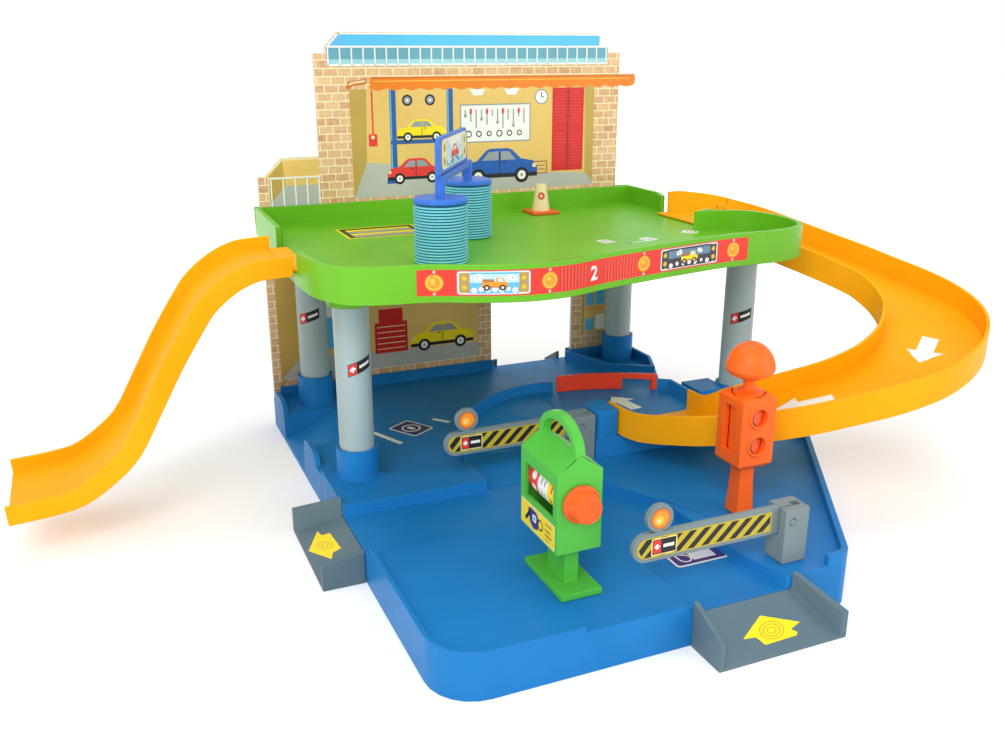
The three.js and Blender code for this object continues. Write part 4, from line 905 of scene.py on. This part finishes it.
bars("roof_balusters", 27, (63.0, 303.5), (9.68, 0), (1.1, 13.5), ink_white)
bars("roof_rails", 2, (189.4, 296.8), (0, 14.0), (254.5, 1.5), ink_white)
bars("balcony_posts", 5, (11.0, 197.5), (9.8, 0), (1.1, 24.0), ink_white)
bars("balcony_rails", 2, (30.6, 185.2), (0, 24.6), (41.5, 1.4), ink_white)
for column in range(2):
    for block in range(2):
        first = (270.0 + 15.8 * column, 211.0 + 37.0 * block)
        bars(f"locker_louvres_{column + 1}_{block + 1}", 11, first, (0, 2.6), (10.5, 0.9), ink_red)

# Barriers. A grey slotted post is pegged in the floor, and a flat boom turns on a headed pin in it.
# A vinyl label with slanted stripes covers each face of the boom, and a lamp label its round lobe.
part_grey = plastic("barrier grey plastic", (0.18, 0.235, 0.245), 0.4)
stripe = 4.6
label_low, label_high = 48.4, 60.6
label_middle = 54.5
half_label = (label_high - label_low) / 2
for side, pivot_x, near, far in (("front", 216.75, 17.7, 21.3), ("rear", 174.5, 194.2, 197.8)):
    for part, edge in (("post", 0.5), ("boom", 0.35), ("pin", 0.2)):
        node = f"barrier_{side}_{part}"
        moulding(node, part_grey, edge)
    end = pivot_x - 92.5
    last = pivot_x - 10.5
    edge = [(last, label_low), (last, label_high)] + arc(end, label_middle, half_label, 90, 270)
    shapes = [(ink_mustard, edge, 0)]
    low, high = label_low + 0.7, label_high - 0.7
    run = high - low
    for k in range(12):
        foot = end - 11.0 + k * 2 * stripe
        slant = [(foot, low), (foot + stripe, low), (foot + stripe + run, high), (foot + run, high)]
        if foot < end - 5:
            slant[:2] = [(end - 5.0, low + 5.2), (end - 3.2, low + 1.6)]
        elif slant[2][0] > last - 0.8:
            top = low + last - 0.8 - foot
            slant[2:] = [(last - 0.8, top - stripe), (last - 0.8, min(top, high))]
            if top > high:
                slant.append((foot + run, high))
        if foot + stripe < last - 1.6:
            shapes.append((ink_black, slant, 1))
    for ink, left, right, half, round_by, layer in (
        (ink_lemon, 3, 19, 5, 0.4, 2),
        (ink_black, 3.6, 18.4, 4.4, 0.3, 3),
        (ink_red, 4, 9, 3.8, 0, 4),
    ):
        badge = panel(end + left, end + right, label_middle - half, label_middle + half, round_by)
        shapes.append((ink, badge, layer))
    shapes += [
        (ink_white, turned(panel(-1.3, 1.3, -1.3, 1.3), end + 6.5, label_middle, 45), 5),
        (ink_white, panel(end + 10.4, end + 17.2, label_middle - 1, label_middle + 1), 4),
    ]
    lamp_u = pivot_x - 84.5
    shapes += discs(lamp_u, 71.0, (ink_rust, 6.1, 0), (ink_amber_deep, 5.6, 1), (ink_amber, 4.7, 2))
    shapes += discs(lamp_u - 0.9, 70.2, (ink_lamp, 2.7, 3, 18))
    shapes += discs(lamp_u - 1.3, 69.8, (ink_cream, 1.1, 4, 12))
    film(f"barrier_{side}_label", shapes, facing_front(near), body=f"{side}_boom")
    film(f"barrier_{side}_back_label", mirrored(shapes), facing_back(far), body=f"{side}_boom")

# Fuel pump. A green gabled case on a stand holds a white drum, which the orange knob turns to show
# bands of colour in the window. A yellow vinyl label with a plain nozzle sign is below the window.
pump_green = plastic("pump green plastic", (0.08, 0.47, 0.05))
knob_orange = plastic("knob orange plastic", (0.90, 0.11, 0.01))
drum_white = plastic("drum white plastic", (0.82, 0.80, 0.75))
moulding("pump_stand", pump_green, 0.4)
for node in ("pump_case", "pump_cover"):
    moulding(node, pump_green, 0.3, joined=False)
moulding("pump_drum", drum_white, 0.3)
moulding("pump_knob", knob_orange, 0.7)
drum_x = 93.5
drum_z = 79.0
drum_radius = 11.0
seat_depth = 0.07


def round_the_drum(u, v, lift):
    """Lays a film round the drum, from arc and place along its spindle."""
    angle = -u / drum_radius
    reach = drum_radius - seat_depth + lift
    return spot(drum_x + reach * math.cos(angle), v, drum_z + reach * math.sin(angle))


around = math.pi * drum_radius * 0.999
drum_bands = [
    (ink_white, panel(-around, around, 43, 79), 0),
    (ink_red, panel(-around, around, 67, 79), 1),
    (ink_yellow, panel(-around, around, 43, 55), 1),
]
for k in range(9):
    at = -around + (k + 0.5) * around * 2 / 9
    drum_bands += discs(at, 72.0, (ink_white, 2.6, 2, 14))
    for ink, half, low, high in (
        (ink_amber, 2.4, 45.5, 47.2),
        (ink_red, 2.4, 49.5, 51),
        (ink_grey, 1.8, 58, 59.4),
        (ink_grey, 1.8, 62, 63.4),
    ):
        drum_bands.append((ink, panel(at - half, at + half, low, high), 2))
film("pump_drum_bands", drum_bands, round_the_drum, step=1.6, body="price_drum")
pump_side = 80.0
spout = [(-77.6, 55.4), (-75.4, 54.4), (-70.6, 60.2), (-71.6, 62.4)]
grip = [(-73.6, 62.8), (-69.6, 64.4), (-62.4, 64), (-59, 61), (-60.2, 54.4), (-66, 52.8), (-70.6, 55.2)]
pump_label = [
    (ink_cream, panel(-82.4, -39.4, 51, 66.4, 0.8), 0),
    (ink_yellow, panel(-81.6, -40.2, 51.8, 65.6, 0.5), 1),
    (ink_black, spout, 2),
    (ink_violet, grip, 2),
    (ink_white, panel(-67.4, -62.6, 57.2, 61.6, 1.2), 3),
    (ink_sky, panel(-66.4, -63.6, 58.2, 60.6, 0.6), 4),
    (ink_black, annulus(-57.4, 58.8, 3.4, 2.4), 3),
    (ink_mustard, panel(-51.4, -43, 62, 63.8), 2),
    (ink_rust, panel(-51.4, -44.6, 58.6, 59.8), 2),
    (ink_rust, panel(-51.4, -43, 55.8, 57), 2),
    (ink_mustard, panel(-51.4, -46, 53.2, 54.2), 2),
]
film("pump_label", pump_label, lambda u, v, lift: spot(pump_side - lift, -u, v))

# Traffic light. An orange post and square head hold a drum, turned by the dome on top.
# Small round vinyl lamps on the drum show through the head's round holes, one pair on each half of it.
# A dark olive disc set off to the left behind each lamp is painted shade from the hole's rim.
light_orange = plastic("traffic light orange plastic", (1.0, 0.13, 0.005))
ink_green = printed("lamp green", (0.05, 0.42, 0.08))
for node in ("traffic_post", "traffic_head", "traffic_dome"):
    moulding(node, light_orange, 0.5)
moulding("traffic_drum", light_orange, 0.3)
# The dark olive disc is painted shade: set off to the left behind each lamp, it shows as a crescent in the
# hole.
ink_painted_hole_shade = printed("olive", (0.10, 0.11, 0.02))
ink_lamp_red = printed("lamp red", (0.92, 0.13, 0.05))
lamp_pairs = ((-90, ink_lamp_red, ink_lamp_red), (90, ink_amber, ink_green))
lamp_drum = (231, 79, 79, 10)
for number, (facing, *pair) in enumerate(lamp_pairs, 1):
    lamps = []
    for level, ink in zip((17.0, -1.0), pair):
        lamps += [(ink_painted_hole_shade, circle(0.6, level - 0.8, 7.4), 0), (ink, circle(3.4, level - 1.0, 5.6), 1)]
        lamps += discs(4.6, level + 0.8, (ink_lamp, 0.9, 2, 12))
    place = round_a_post(*lamp_drum, facing)
    film(f"traffic_lamps_{number}", lamps, place, fine_step, body="lamp_drum")

# Car wash. Two pale blue ring brushes turn on the spindles of a blue bridged frame with a sign.
# Each brush is a stack of thin flexible rings moulded on one hub, coloured dark blue as painted shade
# in the gaps between the rings; the sign has a plain vinyl picture.
ring_blue = plastic("brush pale blue plastic", (0.20, 0.64, 0.76), 0.4)
# The hub's dark blue is painted shade, seen in the gaps between the rings.
hub_gap_shade_blue = plastic("brush hub plastic", (0.02, 0.20, 0.29), 0.45)
wash_blue = plastic("wash blue plastic", (0.03, 0.16, 0.62))


def one_ring(tree, given):
    """A circle swept with a flat oblong of rounded corners."""
    path = tree.nodes.new("GeometryNodeCurvePrimitiveCircle")
    profile = tree.nodes.new("GeometryNodeCurvePrimitiveQuadrilateral")
    rim = tree.nodes.new("GeometryNodeFilletCurve")
    ring = tree.nodes.new("GeometryNodeCurveToMesh")
    rim.mode = "POLY"
    dial(path, {"Resolution": 72})
    dial(rim, {"Count": 2})
    for source, target in (
        (given["Ring middle"], path.inputs["Radius"]),
        (given["Ring width"], profile.inputs["Width"]),
        (given["Ring thickness"], profile.inputs["Height"]),
        (profile.outputs["Curve"], rim.inputs["Curve"]),
        (given["Rim radius"], rim.inputs["Radius"]),
        (path.outputs["Curve"], ring.inputs["Curve"]),
        (rim.outputs["Curve"], ring.inputs["Profile Curve"]),
    ):
        tree.links.new(source, target)
    return ring.outputs["Mesh"]


ring_sizes = ("Ring middle", "Ring width", "Ring thickness", "Rim radius")
ring_stack = row_tree("stack of brush rings", dict.fromkeys(ring_sizes, "Float"), one_ring)
brush_front = (88.5, 235.0)
brush_rear = (140.0, 317.0)
for side, place in (("front", brush_front), ("rear", brush_rear)):
    rings = grown_from(
        ring_stack,
        f"wash_brush_{side}_fine_rings",
        f"{side}_brush",
        count=20,
        first_place=spot(*place, 173.14),
        pitch=(0, 0, 1.955 * mm),
        ring_middle=13.9 * mm,
        ring_width=8.6 * mm,
        ring_thickness=1.16 * mm,
        rim_radius=0.4 * mm,
        finish=ring_blue,
    )
    moulding(f"wash_brush_{side}", hub_gap_shade_blue, 0.1, f"wash_brush_{side}_hub")
moulding("wash_frame", wash_blue, 0.4)
moulding("wash_sign", wash_blue, 0.5, "wash_sign_plate")
sign_low = 230.3
sign_lean = math.atan2(brush_rear[1] - brush_front[1], brush_rear[0] - brush_front[0])
sign_half = 1.5


def on_sign(side):
    """Lays a film on one face of the sign, from millimetres along the line of brushes and upwards."""

    def place(u, v, lift):
        along = u * side
        out = side * (sign_half + lift)
        x = brush_front[0] + along * math.cos(sign_lean) + out * math.sin(sign_lean)
        y = brush_front[1] + along * math.sin(sign_lean) - out * math.cos(sign_lean)
        return spot(x, y, sign_low + v)

    return place


suds = [(20, 21.4), (34, 12), (50, 18.5), (62, 13), (66, 21.4)]
pool = [(15, 3.4), (71, 3.4), (71, 7.6), (58, 6.2), (45, 8), (30, 6.4), (15, 8.4)]
little_car = [
    (30, 8.2), (56, 8.2), (56, 11.6), (50.5, 12.6),
    (46, 16.4), (37, 16.4), (33, 12.4), (30, 11.8),
]
wash_picture = [
    (ink_white, panel(1, 85, 2.6, 22.2, 4.6), 0),
    (ink_lemon, panel(2.2, 83.8, 3.4, 21.4, 4), 1),
    (ink_foam, panel(15, 71, 3.4, 21.4), 2),
    (ink_white, suds, 3),
    (ink_sky, pool, 4),
    (ink_red, little_car, 5),
    (ink_white, [(36.2, 12.6), (38.6, 15.2), (41.2, 15.2), (41.2, 12.6)], 6),
    (ink_white, [(42.6, 12.6), (42.6, 15.2), (45, 15.2), (47.6, 12.6)], 6),
]
for at in (35.5, 50.5):
    wash_picture += discs(at, 8.0, (ink_navy, 2.7, 7, 16), (ink_white, 1.2, 8, 12))
for at, rise, size in (
    (20, 8, 2.4), (24, 6, 1.8), (61, 7, 2.5), (65.5, 9, 1.8),
    (27, 10.5, 1.5), (58.5, 11.5, 1.6), (41, 5.4, 1.7), (46, 5, 1.3),
):
    wash_picture += discs(at, rise, (ink_white, size, 9, 14))
    wash_picture += discs(at + 0.3, rise - 0.3, (ink_foam, size * 0.55, 10, 10))
lamp_size = 3.0
for at in (8.6, 77.4):
    for rise in (8.0, 16.6):
        wash_picture += discs(at, rise, (ink_mustard, lamp_size, 2, 16), (ink_rust, lamp_size * 0.55, 3, 12))
film("wash_sign_label", wash_picture, on_sign(1))
film("wash_sign_back_label", mirrored(wash_picture), on_sign(-1))

# Road cone. A small pale cone on an orange foot stands on the deck by its peg.
# The two shades are moulded one on the other; a round red vinyl label is stuck on the side.
cone_at = (239.0, 395.0)
cone_foot = 174.6
cone_waist = 6.2
cone_label_level = 187.6


def footed(material, body):
    """The lower moulding's orange up to the foot's top, and the body's own shade above it."""
    split = node_of(material, "ShaderNodeSeparateXYZ")
    join(material, placed(material), split.inputs["Vector"])
    level = (corner.z + cone_foot * mm, corner.z + (cone_foot + 0.3) * mm)
    above = ranged(material, split.outputs["Z"], *level, 0, 1)
    return blended(material, above, (0.80, 0.11, 0.02), body)


cone_pale = plastic("cone pale plastic", (0.76, 0.64, 0.33), pattern=footed)
moulding("road_cone", cone_pale, 0.3)


def on_cone(u, v, lift):
    """Lays a film on the cone's side, from arc millimetres and height, facing the front left."""
    facing = math.radians(-112) + u / cone_waist
    aim = Vector((math.cos(facing), math.sin(facing), 0))
    return touched("road_cone", spot(*cone_at, v) + aim * 60 * mm, -aim, lift)


target = ((ink_rust, 3.3, 0, 20), (ink_red, 2.6, 1, 18), (ink_cream, 1.2, 2, 12))
cone_label = discs(0, cone_label_level, *target)
film("road_cone_label", cone_label, on_cone, step=1)

# Studio. A plain pale floor that turns to even white away from the toy, soft lamps, and the camera
# at the photograph's angle.
floor_side = 16.0
near_reach = 0.5
far_reach = 0.95
floor_lift = 0.2
floor_mesh = bpy.data.meshes.new("studio_floor")
half = floor_side / 2
floor_corners = [(-half, -half, 0), (half, -half, 0), (half, half, 0), (-half, half, 0)]
floor_mesh.from_pydata(floor_corners, [], [(0, 1, 2, 3)])
floor_paper, floor_shader = fresh_material("floor paper")
floor_mesh.materials.append(floor_paper)
dial(floor_shader, {"Base Color": (0.9, 0.9, 0.9, 1), "Emission Color": (1, 1, 1, 1)})
dial(floor_shader, {"Roughness": 0.9, "Specular IOR Level": 0.1})
fade = node_of(floor_paper, "ShaderNodeTexGradient", gradient_type="SPHERICAL")
shrink = node_of(floor_paper, "ShaderNodeMapping", {"Scale": (1 / far_reach, 1 / far_reach, 1)})
join(floor_paper, placed(floor_paper), shrink.inputs["Vector"])
join(floor_paper, shrink.outputs["Vector"], fade.inputs["Vector"])
glow = ranged(floor_paper, fade.outputs["Fac"], 0.0, 1 - near_reach / far_reach, 1.0, floor_lift)


def seen_rays(tree):
    """One for camera, glossy and transmission rays, and nought for the light that falls on the toy."""
    rays = tree.nodes.new("ShaderNodeLightPath")
    total = rays.outputs["Is Camera Ray"]
    for kind in ("Is Glossy Ray", "Is Transmission Ray"):
        plus = tree.nodes.new("ShaderNodeMath")
        plus.operation = "ADD"
        plus.use_clamp = True
        tree.links.new(total, plus.inputs[0])
        tree.links.new(rays.outputs[kind], plus.inputs[1])
        total = plus.outputs["Value"]
    return total


seen_glow = combined(floor_paper, "MULTIPLY", glow, seen_rays(floor_paper.node_tree))
join(floor_paper, seen_glow, floor_shader.inputs["Emission Strength"])
shown("studio_floor", floor_mesh)

world = bpy.data.worlds.new("studio air")
bpy.context.scene.world = world
world.use_nodes = True
air = world.node_tree.nodes["Background"]
dial(air, {"Color": (1, 1, 1, 1)})
level = world.node_tree.nodes.new("ShaderNodeMix")
dial(level, {"A": 0.64, "B": 1.0})
world.node_tree.links.new(seen_rays(world.node_tree), level.inputs["Factor"])
world.node_tree.links.new(level.outputs["Result"], air.inputs["Strength"])


def lamp(name, place, target, size, power):
    data = bpy.data.lights.new(name, "AREA")
    data.size = size
    data.energy = power
    light = shown(name, data)
    light.location = place
    light.rotation_euler = (Vector(target) - Vector(place)).to_track_quat("-Z", "Y").to_euler()


middle = (0, 0, 0.12)
lamp("key lamp", (-0.9, -1.3, 1.35), middle, 1.0, 18)
lamp("fill lamp", (1.3, -1.5, 0.75), middle, 1.4, 13)
lamp("side lamp", (-1.6, -0.9, 0.45), middle, 1.0, 7)
lamp("top lamp", (0.1, 0.5, 2.0), middle, 1.6, 11)

lens = bpy.data.cameras.new("camera")
camera = shown("camera", lens)
bpy.context.scene.camera = camera
lens.sensor_width = 36.0
lens.lens = 35.05
lens.clip_start = 0.01
camera_tilt = 71.78
camera_turn = -23.25
camera.location = spot(-131.75, -381.6, 310)
camera.rotation_euler = (math.radians(camera_tilt), 0, math.radians(camera_turn))

bpy.context.scene.view_settings.view_transform = "Standard"
